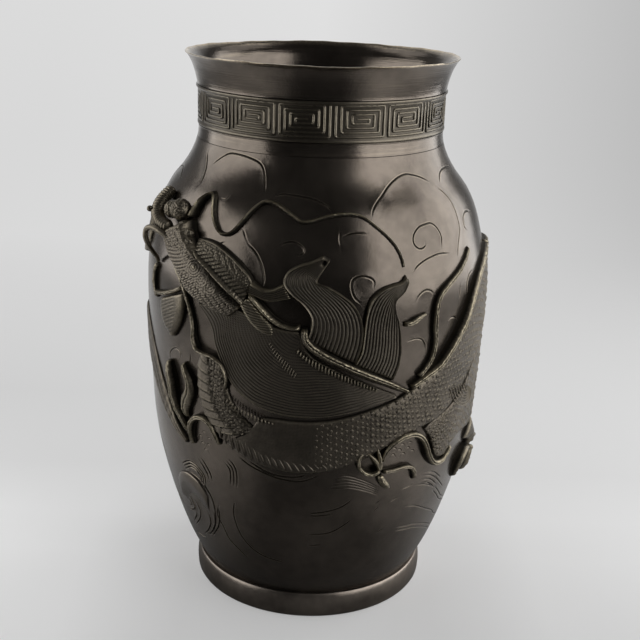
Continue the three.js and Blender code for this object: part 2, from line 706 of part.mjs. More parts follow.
// Haunch: the scaled upper leg below the trunk on the right side.
layBand('haunch', reliefBronze, {
  leftRail: [
    [38.6, 118.4], [41.4, 113], [42.8, 107.4], [44, 102.4], [46, 98.8],
    [50, 98], [54, 102.8], [60, 104.8], [67, 104.4], [75, 102]
  ],
  rightRail: [
    [40.4, 120], [44.6, 121.6], [48.6, 124.4], [52.6, 128], [56.4, 132.2],
    [60, 136.4], [63.8, 140.4], [68, 144.6], [73, 149.2], [79, 153.6]
  ],
  height: [2.6, trunkHeight, trunkHeight, flankHeight, flankHeight]
});

// Hind foot: a short shank and three toes that grip the waves at the right side.
layStrand('hind_shank', reliefBronze, {
  line: [[71, 101.6], [73.6, 98], [75.4, 94], [75.8, 89.6]],
  width: [15, 11, 8, 6.4],
  height: [2.4, 4.4, 5.6, 5.6]
});
layStrand('hind_toe_front', wornBronze, {
  line: [[73, 88.2], [69.4, 88], [66.4, 84.4], [65.4, 79], [66.6, 73.4]],
  width: [3.6, 4.4, 4, 3, 1.4],
  height: [clawHeight, clawHeight, clawHeight, 4, 2.4]
});
layStrand('hind_toe_middle', wornBronze, {
  line: [[76, 88], [75.2, 82.4], [75.4, 76.4], [77, 70.4]],
  width: [4, 4.6, 3.6, 1.4],
  height: [hindToeHeight, hindToeHeight, hindToeHeight, 4.4]
});
layStrand('hind_toe_back', wornBronze, {
  line: [[79, 90.4], [82.8, 89], [85.8, 84.6], [86.6, 78.6], [85, 72.6]],
  width: [3.6, 4.2, 3.6, 2.8, 1.4],
  height: [clawHeight, hindToeHeight, hindToeHeight, clawHeight, 3]
});

// Back spine: the ridge goes on along the trunk, round the far side.
layStrand('back_spine', wornBronze, {
  line: [
    [82.4, 202.4], [93, 201.6], [104, 197.8], [114.6, 190.4], [124.4, 181.2], [133.4, 172],
    [141.6, 164], [149.4, 158], [156.6, 154.6], [163.6, 153.8], [170.8, 155.6]
  ],
  width: [spineWidth, spineWidth, spineWidth, 3],
  height: [flankSpineHeight, spineHeight, spineHeight, 4.4]
});

// Back trunk: the body runs on round the back in a long wave.
layBand('trunk_back', reliefBronze, {
  leftRail: [
    [83.4, 158.6], [92, 161.4], [101, 160], [110, 154.8], [118.4, 147], [126.4, 138], [134.4, 129.4],
    [143, 122.8], [152.4, 118.8], [162.4, 117.6], [172.4, 119.6], [182, 124.2], [191, 130.4]
  ],
  rightRail: [
    [81.6, 198.9], [94, 198], [105, 193.6], [115, 186.4], [124.4, 177.4], [133, 168.4], [141, 160.4],
    [148.6, 154.6], [156, 151.2], [163.4, 150.4], [170.6, 152.2], [178, 156.2], [185, 161.6]
  ],
  height: [flankHeight, 3, trunkHeight, trunkHeight]
});

// Tail: narrows up the left side to a flame.
layBand('tail', reliefBronze, {
  leftRail: [
    [192.2, 131.4], [200.4, 138.4], [209, 147], [217.4, 156.6], [225.4, 166.6],
    [233, 176.6], [240.6, 185.6], [249, 192.4], [258, 196]
  ],
  rightRail: [
    [186.2, 162.6], [193, 169.4], [200, 177], [207.6, 184.8], [216, 192],
    [225.4, 197.8], [235.4, 201.2], [246, 201.6], [256.4, 199.6]
  ],
  height: [trunkHeight, trunkHeight, 3.2, 2.8]
});
layBand('tail_flame', wornBronze, {
  leftRail: [[258.6, 195], [264, 190.4], [270.6, 189.4], [277.6, 193.4], [284, 201.4]],
  rightRail: [[257.4, 201], [262, 208.4], [268.4, 213.4], [276, 213], [283.6, 205]],
  height: [2.6, 3.2, 3, 2]
});

// Back leg: the second hind leg, below the trunk on the far side, and its claw.
layStrand('back_shank', reliefBronze, {
  line: [[140, 120.8], [135.4, 113], [131.4, 104.4], [129.6, 95.4]],
  width: [26, 18, 12, 7],
  height: [trunkHeight, 4, 4.4, 4],
  section: wideSection
});
layClaw('back_claw', [129.2, 93.4], [
  [[124.6, 93.8], [120.4, 90.8], [118.6, 85.4], [119.6, 80.4]],
  [[128.4, 87.6], [128.6, 82], [130, 77]],
  [[133.6, 92], [137.2, 88.2], [138.4, 83.2], [137.6, 78.6]]
]);

// Back ribbons: two flames that rise from the trunk on the far side.
layStrand('back_ribbon_right', wornBronze, {
  line: [[128.6, 180.4], [132.4, 185], [138.4, 189], [145.4, 193], [150, 199], [150.6, 207.4], [154.4, 214.6]],
  width: [ribbonWidth, ribbonWidth, ribbonWidth, 1.4],
  height: [ribbonHeight, ribbonHeight, ribbonHeight, 1.8]
});
layStrand('back_ribbon_left', wornBronze, {
  line: [
    [176.4, 159], [173.8, 166.4], [175, 174.6], [179.6, 182], [184.4, 189.6], [184.6, 198.4], [180.4, 206]
  ],
  width: [ribbonWidth, ribbonWidth, ribbonWidth, 1.4],
  height: [ribbonHeight, 4.4, 4.8, 1.8]
});

// Wave crest: a rolled wave below the left claw.
layBand('wave_crest', bronze, {
  leftRail: [[-60, 62], [-58.4, 72], [-54, 79.6], [-48.4, 82], [-42.8, 79.4], [-39.6, 72]],
  rightRail: [[-55, 60.6], [-52, 66], [-49, 68.6], [-46, 67.4], [-43.8, 63.6], [-41.2, 60.4]],
  height: [1.2, waveHeight, waveHeight, 1.2]
});

export default vase;
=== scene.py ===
"""A cast bronze vase with a dragon in high relief, dressed for its portrait on a pale table."""

import math

import bpy
import numpy as np
from mathutils import Matrix, Vector, geometry


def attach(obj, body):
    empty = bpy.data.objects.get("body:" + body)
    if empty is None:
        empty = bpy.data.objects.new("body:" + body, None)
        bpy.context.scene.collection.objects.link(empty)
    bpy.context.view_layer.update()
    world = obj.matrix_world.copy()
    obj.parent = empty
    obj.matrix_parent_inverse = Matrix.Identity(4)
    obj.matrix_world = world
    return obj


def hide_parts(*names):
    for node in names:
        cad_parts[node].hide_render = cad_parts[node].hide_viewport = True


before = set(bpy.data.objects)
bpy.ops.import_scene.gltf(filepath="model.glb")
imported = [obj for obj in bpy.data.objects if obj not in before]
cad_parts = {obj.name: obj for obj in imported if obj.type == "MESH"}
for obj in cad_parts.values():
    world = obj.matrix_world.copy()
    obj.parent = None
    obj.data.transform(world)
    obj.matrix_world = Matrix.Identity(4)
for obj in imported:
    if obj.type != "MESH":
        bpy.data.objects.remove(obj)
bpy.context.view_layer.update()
bpy.context.scene.view_settings.view_transform = "Standard"


# Camera: stands in front of the vase and a little above its rim, looking down at it, with the
# slight turn and tilt that the photograph has. Its frame is square.
def put_in_scene(name, data):
    """An object in the scene that holds a camera, a lamp or a mesh."""
    thing = bpy.data.objects.new(name, data)
    bpy.context.scene.collection.objects.link(thing)
    return thing


camera_distance = 0.600
camera_height = 0.35295
lens_length = 62.754
turn, dip, tilt = 0.0046, 0.324, 0.0315
forward = Vector((math.sin(turn) * math.cos(dip), math.cos(turn) * math.cos(dip), -math.sin(dip)))
level_right = Vector((math.cos(turn), -math.sin(turn), 0))
level_up = level_right.cross(forward)
view_right = math.cos(tilt) * level_right + math.sin(tilt) * level_up
view_up = math.cos(tilt) * level_up - math.sin(tilt) * level_right
camera_lens = bpy.data.cameras.new("portrait_camera")
camera_lens.sensor_fit = "HORIZONTAL"
camera_lens.sensor_width = 36
camera_lens.lens = lens_length
camera = put_in_scene("portrait_camera", camera_lens)
camera.matrix_world = Matrix.Translation((0, -camera_distance, camera_height)) @ Matrix(
    (view_right, view_up, -forward)).transposed().to_4x4()
bpy.context.scene.camera = camera


# Table and backdrop: one sheet of pale paper that lies flat under the vase and sweeps up behind
# it. The far part shows its own pale grey to the camera, and the near part takes the shadow.
# The bronze mirrors a darker floor in front of the vase than the camera sees.
class Signal:
    """One output of a node, which adds its own Math nodes when it is used in a sum."""

    def __init__(self, plan, node, socket):
        self.plan = plan
        self.node = node
        self.socket = socket

    def sum_with(self, operation, *terms):
        sockets = dict(enumerate(terms))
        return self.plan.add("ShaderNodeMath", {"operation": operation}, sockets)

    def __add__(self, other):
        return self.sum_with("ADD", self, other)

    def __radd__(self, other):
        return self.sum_with("ADD", other, self)

    def __sub__(self, other):
        return self.sum_with("SUBTRACT", self, other)

    def __rsub__(self, other):
        return self.sum_with("SUBTRACT", other, self)

    def __mul__(self, other):
        return self.sum_with("MULTIPLY", self, other)

    def __rmul__(self, other):
        return self.sum_with("MULTIPLY", other, self)

    def __truediv__(self, other):
        return self.sum_with("DIVIDE", self, other)

    def __mod__(self, other):
        return self.sum_with("FLOORED_MODULO", self, other)

    def whole(self):
        return self.sum_with("FLOOR", self)

    def sine(self):
        return self.sum_with("SINE", self)

    def cosine(self):
        return self.sum_with("COSINE", self)

    def held(self, low, high):
        """0 below low, 1 above high and even between them."""
        return self.plan.add("ShaderNodeMapRange", {}, {"Value": self, "From Min": low, "From Max": high})

    def part(self, name):
        return Signal(self.plan, self.node, self.plan.open_socket(self.node.outputs, name))


class Plan:
    """A node tree that is written line by line: a finish or a form."""

    def __init__(self, tree):
        self.tree = tree

    def open_socket(self, sockets, key):
        """A socket by its place in the list or by its name."""
        if isinstance(key, int):
            return sockets[key]
        return next(socket for socket in sockets if socket.name == key and socket.enabled)

    def add(self, kind, settings, sockets):
        """One node with its settings, and with its sockets linked to signals or set."""
        node = self.tree.nodes.new(kind)
        for key, value in settings.items():
            if key == "stops":
                while len(node.color_ramp.elements) < len(value):
                    node.color_ramp.elements.new(1.0)
                for stop, (place_on_ramp, colour) in zip(node.color_ramp.elements, value):
                    stop.position = place_on_ramp
                    stop.color = colour
            else:
                setattr(node, key, value)
        for key, value in sockets.items():
            socket = self.open_socket(node.inputs, key)
            for one in value if isinstance(value, list) else [value]:
                if isinstance(one, Signal):
                    self.tree.links.new(one.socket, socket)
                else:
                    socket.default_value = one
        shown = next((socket for socket in node.outputs if socket.enabled), None)
        return Signal(self, node, shown)

    def mixed(self, share, first, second):
        """A colour between two others."""
        return self.add("ShaderNodeMix", {"data_type": "RGBA"}, {"Factor": share, "A": first, "B": second})

    def marked(self, shape, label, amount):
        """The shape with a named amount, such as its wear, at each of its points."""
        return self.add("GeometryNodeStoreNamedAttribute", {"data_type": "FLOAT", "domain": "POINT"}, {
            "Geometry": shape, "Name": label, "Value": amount
        })

    def stepped(self, curve, step):
        """The curve with its points set evenly, a step apart."""
        return self.add("GeometryNodeResampleCurve", {"mode": "LENGTH"}, {"Curve": curve, "Length": step})


def new_finish(name):
    """A material with an empty plan."""
    material = bpy.data.materials.new(name)
    material.use_nodes = True
    material.node_tree.nodes.clear()
    return material, Plan(material.node_tree)


def grey(value):
    return (value, value, value, 1)


paper, plan = new_finish("pale_paper")
spot = plan.add("ShaderNodeTexCoord", {}, {}).part("Object")
spot = plan.add("ShaderNodeSeparateXYZ", {}, {"Vector": spot})
behind = spot.part("Y").held(0.10, 0.75)
sideways = spot.part("X").held(-0.45, 0.55)
# The far paper's grey is painted darker towards the right: painted shade across the backdrop.
far_tone = plan.add("ShaderNodeValToRGB", {
    "stops": [(0.0, grey(0.73)), (0.45, grey(0.765)), (1.0, grey(0.53))]
}, {"Fac": sideways})
rays = plan.add("ShaderNodeLightPath", {}, {})
seen, mirrored = rays.part("Is Camera Ray"), rays.part("Is Glossy Ray")
off_middle = spot.part("X").sum_with("ABSOLUTE", spot.part("X"))
ahead = 0 - spot.part("Y")
in_front = ahead.held(0.16, 0.42)
turned_aside = off_middle / ahead.sum_with("MAXIMUM", ahead, 0.14)
# What the bronze mirrors, and what the near paper bounces onto it, is a painted floor: near black in front of
# the vase and pale to the sides, a painted reflection. The camera sees an even grey.
reflected_floor_tone = plan.mixed(in_front, grey(0.17), grey(0.03))
reflected_floor_tone = plan.mixed(turned_aside.held(0.4, 1.2), reflected_floor_tone, grey(0.95))
reflected_floor_tone = plan.mixed(off_middle.held(0.42, 0.65), reflected_floor_tone, grey(0.35))
near_tone = plan.mixed(seen, reflected_floor_tone, grey(0.52))
near_paper = plan.add("ShaderNodeBsdfDiffuse", {}, {"Color": near_tone})
# Painted light seen only by the camera: the near paper glows brighter to the left, further back, far out and
# just beside the foot.
left_glow = (1 - spot.part("X").held(-0.25, 0.10)) * (1 - spot.part("Y").held(0.0, 0.25))
apart = off_middle.sum_with("MAXIMUM", off_middle, ahead).held(0.6, 1.5)
beside_foot = off_middle.held(0.07, 0.135) * (1 - spot.part("Y").held(0.0, 0.12))
painted_floor_glow = 0.04 + 0.22 * spot.part("Y").held(-0.20, 0.05) + 0.17 * left_glow + 0.4 * apart + 0.09 * beside_foot
painted_floor_glow = seen * painted_floor_glow
painted_floor_glow = plan.add("ShaderNodeEmission", {}, {"Color": grey(1.0), "Strength": painted_floor_glow})
near_paper = plan.add("ShaderNodeAddShader", {}, {0: near_paper, 1: painted_floor_glow})
# The far paper is painted a little brighter higher up, and much darker at the sides where the bronze mirrors
# it: painted light and a painted reflection.
far_light = 0.94 + 0.06 * spot.part("Z").held(0.05, 0.45)
far_light = far_light - 0.75 * mirrored * off_middle.held(0.5, 0.9)
far_paper = plan.add("ShaderNodeEmission", {}, {"Color": far_tone, "Strength": far_light})
both = plan.add("ShaderNodeMixShader", {}, {"Fac": behind * (seen + mirrored), 1: near_paper, 2: far_paper})
plan.add("ShaderNodeOutputMaterial", {}, {"Surface": both})

paper_half_width = 2.4
paper_front = -1.6
paper_bend_start = 0.9
paper_bend_radius = 0.6
paper_top = 2.2
sweep = [(paper_front, 0.0), (-0.5, 0.0), (0.0, 0.0), (0.4, 0.0), (paper_bend_start, 0.0)]
for step in range(1, 13):
    bend = step / 12 * math.pi / 2
    sweep.append((paper_bend_start + paper_bend_radius * math.sin(bend),
                  paper_bend_radius * (1 - math.cos(bend))))
sweep.append((paper_bend_start + paper_bend_radius, paper_top))
paper_points = [(x, y, z) for y, z in sweep for x in (-paper_half_width, paper_half_width)]
paper_faces = [(2 * i, 2 * i + 1, 2 * i + 3, 2 * i + 2) for i in range(len(sweep) - 1)]
paper_mesh = bpy.data.meshes.new("paper_sweep")
paper_mesh.from_pydata(paper_points, [], paper_faces)
paper_mesh.polygons.foreach_set("use_smooth", [True] * len(paper_faces))
paper_mesh.materials.append(paper)
paper_sweep = put_in_scene("paper_sweep", paper_mesh)


# Lamps: tall soft boxes on both sides, with nothing in front, so the flanks are lit and the
# middle is dark, as in the photograph. Two dim cards high up behind light the rim's inside.
def soft_box(name, bearing, distance, half_angle, low, high, radiance):
    """An upright lamp that faces the vase, seen from it through twice the half angle."""
    bearing, half_angle = math.radians(bearing), math.radians(half_angle)
    width = 2 * distance * math.tan(half_angle)
    height = high - low
    lamp = bpy.data.lights.new(name, "AREA")
    lamp.shape = "RECTANGLE"
    lamp.size = width
    lamp.size_y = height
    lamp.energy = radiance * math.pi * width * height
    box = put_in_scene(name, lamp)
    box.location = (distance * math.sin(bearing), -distance * math.cos(bearing), (low + high) / 2)
    inwards = Vector((-math.sin(bearing), math.cos(bearing), 0))
    box.rotation_euler = inwards.to_track_quat("-Z", "Y").to_euler()


soft_box("left_soft_box", -85, 0.95, 35, 0.02, 0.82, 2.35)
soft_box("right_soft_box", 61, 0.95, 26, 0.02, 1.2, 2.7)
soft_box("right_back_soft_box", 110, 0.95, 22, 0.02, 0.95, 3.0)
card_size = 0.9
card_radiance = 1.1
card_aside, card_behind, card_height = 0.9, 0.55, 1.6
card_aim_height = 0.3
for side in (-1, 1):
    card = bpy.data.lights.new("high_card", "AREA")
    card.size = card_size
    card.energy = card_radiance * math.pi * card.size ** 2
    box = put_in_scene("high_card", card)
    box.location = (card_aside * side, card_behind, card_height)
    aim = Vector((-card_aside * side, -card_behind, card_aim_height - card_height))
    box.rotation_euler = aim.to_track_quat("-Z", "Y").to_euler()

world = bpy.data.worlds.new("studio")
world.use_nodes = True
world.node_tree.nodes.clear()
plan = Plan(world.node_tree)
seen = plan.add("ShaderNodeLightPath", {}, {}).part("Is Camera Ray")
room = plan.add("ShaderNodeBackground", {}, {"Color": grey(0.035), "Strength": 1.0})
pale = plan.add("ShaderNodeBackground", {}, {"Color": grey(0.7), "Strength": 1.0})
both = plan.add("ShaderNodeMixShader", {}, {"Fac": seen, 1: room, 2: pale})
plan.add("ShaderNodeOutputWorld", {}, {"Surface": both})
bpy.context.scene.world = world


# Foot: a cast ring with a slightly bulged side, on which the whole vase stands, and the base
# plate let into it from below. Both are turned forms of the same dark brown bronze.
MM = 0.001
foot_height = 13.7
foot_radius = 66.1
foot_top_radius = 65.3
foot_bulge = 0.7
foot_wall = 8.6
foot_ledge = 3.4
ledge_height = 7.6
plate_thickness = 3.0
plate_chamfer = 0.4
seat_gap = 0.3
turned_sides = 180


def bronze(name, tint, worn_and_highlight_tint, grime_and_shade_tint, roughness, brushed=0.0, relief_pits=0.35, streaks=0.0):
    """Patinated bronze: cloudy brown, rubbed paler where it stands out and darker in its hollows. The same
    two amounts also carry the painted highlights and painted shade that some pieces set.
    """
    material, plan = new_finish(name)
    spot = plan.add("ShaderNodeTexCoord", {}, {}).part("Object")

    def noise(size_mm, detail, stretch=(1, 1, 1)):
        vector = plan.add("ShaderNodeMapping", {}, {"Vector": spot, "Scale": stretch})
        sockets = {"Vector": vector, "Scale": 1000 / size_mm, "Detail": detail}
        return plan.add("ShaderNodeTexNoise", {}, sockets)

    clouds = noise(38, 3.0)
    mottle = noise(5, 4.0)
    crust = noise(1.8, 3.0)
    grain = noise(0.9, 3.0)
    wear = plan.add("ShaderNodeAttribute", {"attribute_name": "wear"}, {}).part("Fac")
    grime = plan.add("ShaderNodeAttribute", {"attribute_name": "grime"}, {}).part("Fac")
    # Paler where the wear amount is high: real wear, and on some pieces a painted highlight. Darker where the
    # grime amount is high: patina in hollows, and on some pieces painted shade.
    rubbed = (wear * (2.4 * crust - 0.2)).held(0.05, 1.0)
    darker_share = (grime * (0.7 + 0.6 * mottle)).held(0.0, 1.0)
    deep = tuple(0.72 * part for part in tint[:3]) + (1,)
    bright = tuple(1.28 * part for part in tint[:3]) + (1,)
    cloudy = plan.mixed((clouds * 0.7 + mottle * 0.3).held(0.36, 0.64), deep, bright)
    colour = plan.mixed(rubbed, cloudy, worn_and_highlight_tint)
    colour = plan.mixed(darker_share, colour, grime_and_shade_tint)
    height = mottle * 0.35 + crust * (0.8 * relief_pits) + grain * relief_pits
    gloss = roughness - 0.05 + 0.1 * clouds - 0.05 * rubbed + 0.22 * darker_share
    if brushed:
        brushing = noise(26, 4.0, (1, 1, 46))
        height = height + brushing * brushed
        gloss = gloss + (brushing - 0.5) * 0.18
    if streaks:
        drawn = noise(60, 3.0, (1, 1, 30)).held(0.56, 0.70)
        colour = plan.mixed(drawn * streaks, colour, worn_and_highlight_tint)
    bump = plan.add("ShaderNodeBump", {}, {"Strength": 0.35, "Distance": 0.00025, "Height": height})
    shader = plan.add("ShaderNodeBsdfPrincipled", {}, {
        "Base Color": colour, "Metallic": 0.92, "Roughness": gloss, "Normal": bump
    })
    plan.add("ShaderNodeOutputMaterial", {}, {"Surface": shader})
    return material


def form_plan(name, inputs):
    """A new form tree that is given a shape, the named inputs and a finish."""
    tree = bpy.data.node_groups.new(name, "GeometryNodeTree")
    for label, kind in {"Geometry": "Geometry", **inputs, "Finish": "Material"}.items():
        tree.interface.new_socket(label, in_out="INPUT", socket_type="NodeSocket" + kind)
    tree.interface.new_socket("Geometry", in_out="OUTPUT", socket_type="NodeSocketGeometry")
    plan = Plan(tree)
    return plan, plan.add("NodeGroupInput", {}, {})


def close_form(plan, shape, given):
    """Every form ends the same way: real geometry, smooth faces and its finish."""
    shape = plan.add("GeometryNodeRealizeInstances", {}, {"Geometry": shape})
    shape = plan.add("GeometryNodeSetShadeSmooth", {}, {0: shape, "Shade Smooth": True})
    shape = plan.add("GeometryNodeSetMaterial", {}, {"Geometry": shape, "Material": given.part("Finish")})
    plan.add("NodeGroupOutput", {}, {"Geometry": shape})


def made_plain(piece, modifier):
    """The piece with what the modifier makes of it as its plain mesh."""
    seen_by = bpy.context.evaluated_depsgraph_get()
    mesh = bpy.data.meshes.new_from_object(piece.evaluated_get(seen_by))
    piece.modifiers.remove(modifier)
    start, piece.data = piece.data, mesh
    mesh.name = piece.name
    bpy.data.meshes.remove(start)
    return piece


def shape_with(piece, plan, values):
    """Runs a form tree on a piece and leaves the result as its plain mesh."""
    form = piece.modifiers.new("form", "NODES")
    form.node_group = plan.tree
    for item in plan.tree.interface.items_tree:
        if item.in_out == "INPUT" and item.name in values:
            form[item.identifier] = values[item.name]
    return made_plain(piece, form)


def mark(mesh, label, amount):
    """Keeps one named amount at each point of a mesh, such as its wear and painted highlight, or its grime
    and painted shade.
    """
    mesh.attributes.new(label, "FLOAT", "POINT").data.foreach_set("value", np.asarray(amount, np.float32))


def face_outwards(piece):
    """Turns a closed mesh's faces round where it is inside out."""
    mesh = piece.data
    mesh.calc_loop_triangles()
    points = np.empty(len(mesh.vertices) * 3)
    mesh.vertices.foreach_get("co", points)
    corners = np.empty(len(mesh.loop_triangles) * 3, dtype=np.int64)
    mesh.loop_triangles.foreach_get("vertices", corners)
    a, b, c = points.reshape(-1, 3)[corners.reshape(-1, 3)].transpose(1, 0, 2)
    if np.einsum("ij,ij->i", a, np.cross(b, c)).sum() < 0:
        mesh.flip_normals()


def settle(piece, slot, *nodes):
    """The piece is part of the vase and stands for these nodes."""
    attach(piece, "root")
    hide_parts(*nodes)


# A turned form: its profile's points, swept round the vase's axis.
turning, given = form_plan("turned_form", {"Sides": "Int"})
profile = given.part("Geometry")
rows = turning.add("GeometryNodeAttributeDomainSize", {"component": "MESH"}, {"Geometry": profile})
rows = rows.part("Point Count")
sides = given.part("Sides")
index = turning.add("GeometryNodeInputIndex", {}, {})
sheet = turning.add("GeometryNodeMeshGrid", {}, {"Vertices X": sides + 1, "Vertices Y": rows})
position = turning.add("GeometryNodeInputPosition", {}, {})
drawn = turning.add("GeometryNodeSampleIndex", {"data_type": "FLOAT_VECTOR"}, {
    "Geometry": profile, "Value": position, "Index": index % rows
})
drawn = turning.add("ShaderNodeSeparateXYZ", {}, {"Vector": drawn})
angle = (index / rows).whole() / sides * (2 * math.pi)
swept = turning.add("ShaderNodeCombineXYZ", {}, {
    "X": drawn.part("X") * angle.sine(), "Y": drawn.part("X") * angle.cosine(), "Z": drawn.part("Z")
})
ring = turning.add("GeometryNodeSetPosition", {}, {"Geometry": sheet, "Position": swept})
ring = turning.add("GeometryNodeMergeByDistance", {}, {"Geometry": ring, "Distance": 2e-6})
close_form(turning, ring, given)


def turned(name, profile, finish, sharp=35):
    """A closed ring or shell from a profile of [radius, height] points in millimetres."""
    loop = list(profile) + [profile[0]]
    mesh = bpy.data.meshes.new(name)
    mesh.from_pydata([(radius * MM, 0, height * MM) for radius, height in loop], [], [])
    piece = shape_with(put_in_scene(name, mesh), turning, {"Sides": turned_sides, "Finish": finish})
    face_outwards(piece)
    piece.data.set_sharp_from_angle(angle=math.radians(sharp))
    return piece


vessel_finish = bronze("vessel_bronze_patina", (0.185, 0.159, 0.135, 1), (0.32, 0.27, 0.20, 1),
                       (0.022, 0.019, 0.015, 1), 0.31)
foot_inside = foot_radius - foot_wall
plate_seat = foot_inside + foot_ledge
foot_side = []
for share in np.linspace(0.08, 0.92, 9):
    straight = foot_radius + (foot_top_radius - foot_radius) * share
    foot_side.append((straight + foot_bulge * math.sin(math.pi * share), foot_height * share))
foot_ring = turned("foot_ring_cast", [
    (foot_inside, 0), (foot_radius - 1.0, 0), (foot_radius - 0.35, 0.3), *foot_side,
    (foot_top_radius - 0.15, foot_height - 0.3), (foot_top_radius - 0.4, foot_height),
    (plate_seat, foot_height), (plate_seat, ledge_height), (foot_inside, ledge_height)
], vessel_finish)
settle(foot_ring, "vessel_bronze", "foot_ring")

plate_bottom = ledge_height + seat_gap
plate_top = plate_bottom + plate_thickness
plate_radius = plate_seat - seat_gap
base_plate = turned("base_plate_disc", [
    (0, plate_bottom), (40, plate_bottom), (plate_radius - plate_chamfer, plate_bottom),
    (plate_radius, plate_bottom + plate_chamfer), (plate_radius, plate_top - plate_chamfer),
    (plate_radius - plate_chamfer, plate_top), (0, plate_top)
], vessel_finish)
settle(base_plate, "vessel_bronze", "base_plate")

# Belly: one thin cast shell. Its clouds and waves are cut in with a graver, which leaves a
# narrow groove with a raised, rubbed lip along each side, so each stroke is a real groove here.
belly_height = 242
belly_radius = 93.1
belly_foot_radius = foot_top_radius - 1.5
belly_wall = 3.2
neck_radius = 65.1
neck_height = 44.3
rim_radius = 72.3
belly_bottom = foot_height + seat_gap
belly_top = foot_height + belly_height
rising_outline = [(0, 0), (0.066, 0.262), (0.149, 0.507), (0.252, 0.743),
                  (0.355, 0.893), (0.459, 0.948), (0.562, 0.98), (0.665, 1)]
falling_outline = [(0.748, 0.964), (0.81, 0.842), (0.86, 0.712), (0.902, 0.527),
                   (0.934, 0.307), (0.967, 0.132), (1, 0.025)]
neck_outline = [(0.18, 0), (0.42, 0.01), (0.64, 0.12), (0.82, 0.4), (0.94, 0.74), (1, 1)]
knots = [(foot_height + h * belly_height, belly_foot_radius + k * (belly_radius - belly_foot_radius))
         for h, k in rising_outline]
knots += [(foot_height + h * belly_height, neck_radius + k * (belly_radius - neck_radius))
          for h, k in falling_outline]
knots += [(belly_top + h * neck_height, neck_radius + k * (rim_radius - neck_radius))
          for h, k in neck_outline]
knot_height, knot_radius = np.array(knots).T


def radius_at(height):
    """The vessel's outside radius at a height, on a smooth curve through the outline's knots."""
    z = np.clip(height, knot_height[0], knot_height[-1])
    low = np.clip(np.searchsorted(knot_height, z, side="left") - 1, 0, len(knots) - 2)
    before = np.maximum(np.arange(len(knots)) - 1, 0)
    after = np.minimum(np.arange(len(knots)) + 1, len(knots) - 1)
    slope = (knot_radius[after] - knot_radius[before]) / (knot_height[after] - knot_height[before])
    span = knot_height[low + 1] - knot_height[low]
    t = (z - knot_height[low]) / span
    start = (1 + 2 * t) * (1 - t) ** 2 * knot_radius[low] + t * (1 - t) ** 2 * span * slope[low]
    end = t ** 2 * (3 - 2 * t) * knot_radius[low + 1] + t ** 2 * (t - 1) * span * slope[low + 1]
    return start + end


mm_per_degree = belly_radius * math.pi / 180


def on_belly(across, height, lift):
    """Points in metres from millimetres across the unrolled belly, height and lift."""
    bearing = np.asarray(across) / belly_radius
    radius = radius_at(height) + lift
    return np.stack([radius * np.sin(bearing), -radius * np.cos(bearing), height + 0 * radius], -1) * MM


def smooth_line(points, share):
    """Points on a smooth curve through the given ones, followed evenly from start to end."""
    points = np.asarray(points, float)
    last = len(points) - 1
    spot = np.asarray(share, float) * last
    i = np.clip(np.floor(spot).astype(int), 0, last)
    t = (spot - i)[:, None]
    p0 = points[np.maximum(i - 1, 0)]
    p1 = points[i]
    p2 = points[np.minimum(i + 1, last)]
    p3 = points[np.minimum(i + 2, last)]
    v0, v1 = (p2 - p0) / 2, (p3 - p1) / 2
    return ((2 * p1 - 2 * p2 + v0 + v1) * t ** 3 + (3 * p2 - 3 * p1 - 2 * v0 - v1) * t ** 2 + v0 * t + p1)


def unrolled(points):
    """[degrees, height] points as millimetres on the unrolled belly."""
    return [(degrees * mm_per_degree, height, *rest) for degrees, height, *rest in points]


def paced(line, spacing):
    """A smooth curve through points, as points that are evenly spaced along it."""
    fine = smooth_line(line, np.linspace(0, 1, 12 * len(line)))
    gone = np.concatenate([[0], np.cumsum(np.linalg.norm(np.diff(fine[:, :2], axis=0), axis=1))])
    count = max(int(round(gone[-1] / spacing)), 2)
    stops = np.linspace(0, gone[-1], count + 1)
    return np.stack([np.interp(stops, gone, fine[:, k]) for k in range(fine.shape[1])], -1)


def beside(points, offset):
    """The same line moved sideways by a distance, to its right for a positive one."""
    direction = np.gradient(points[:, :2], axis=0)
    direction /= np.maximum(np.linalg.norm(direction, axis=1, keepdims=True), 1e-9)
    return points[:, :2] + offset * np.stack([direction[:, 1], -direction[:, 0]], -1)


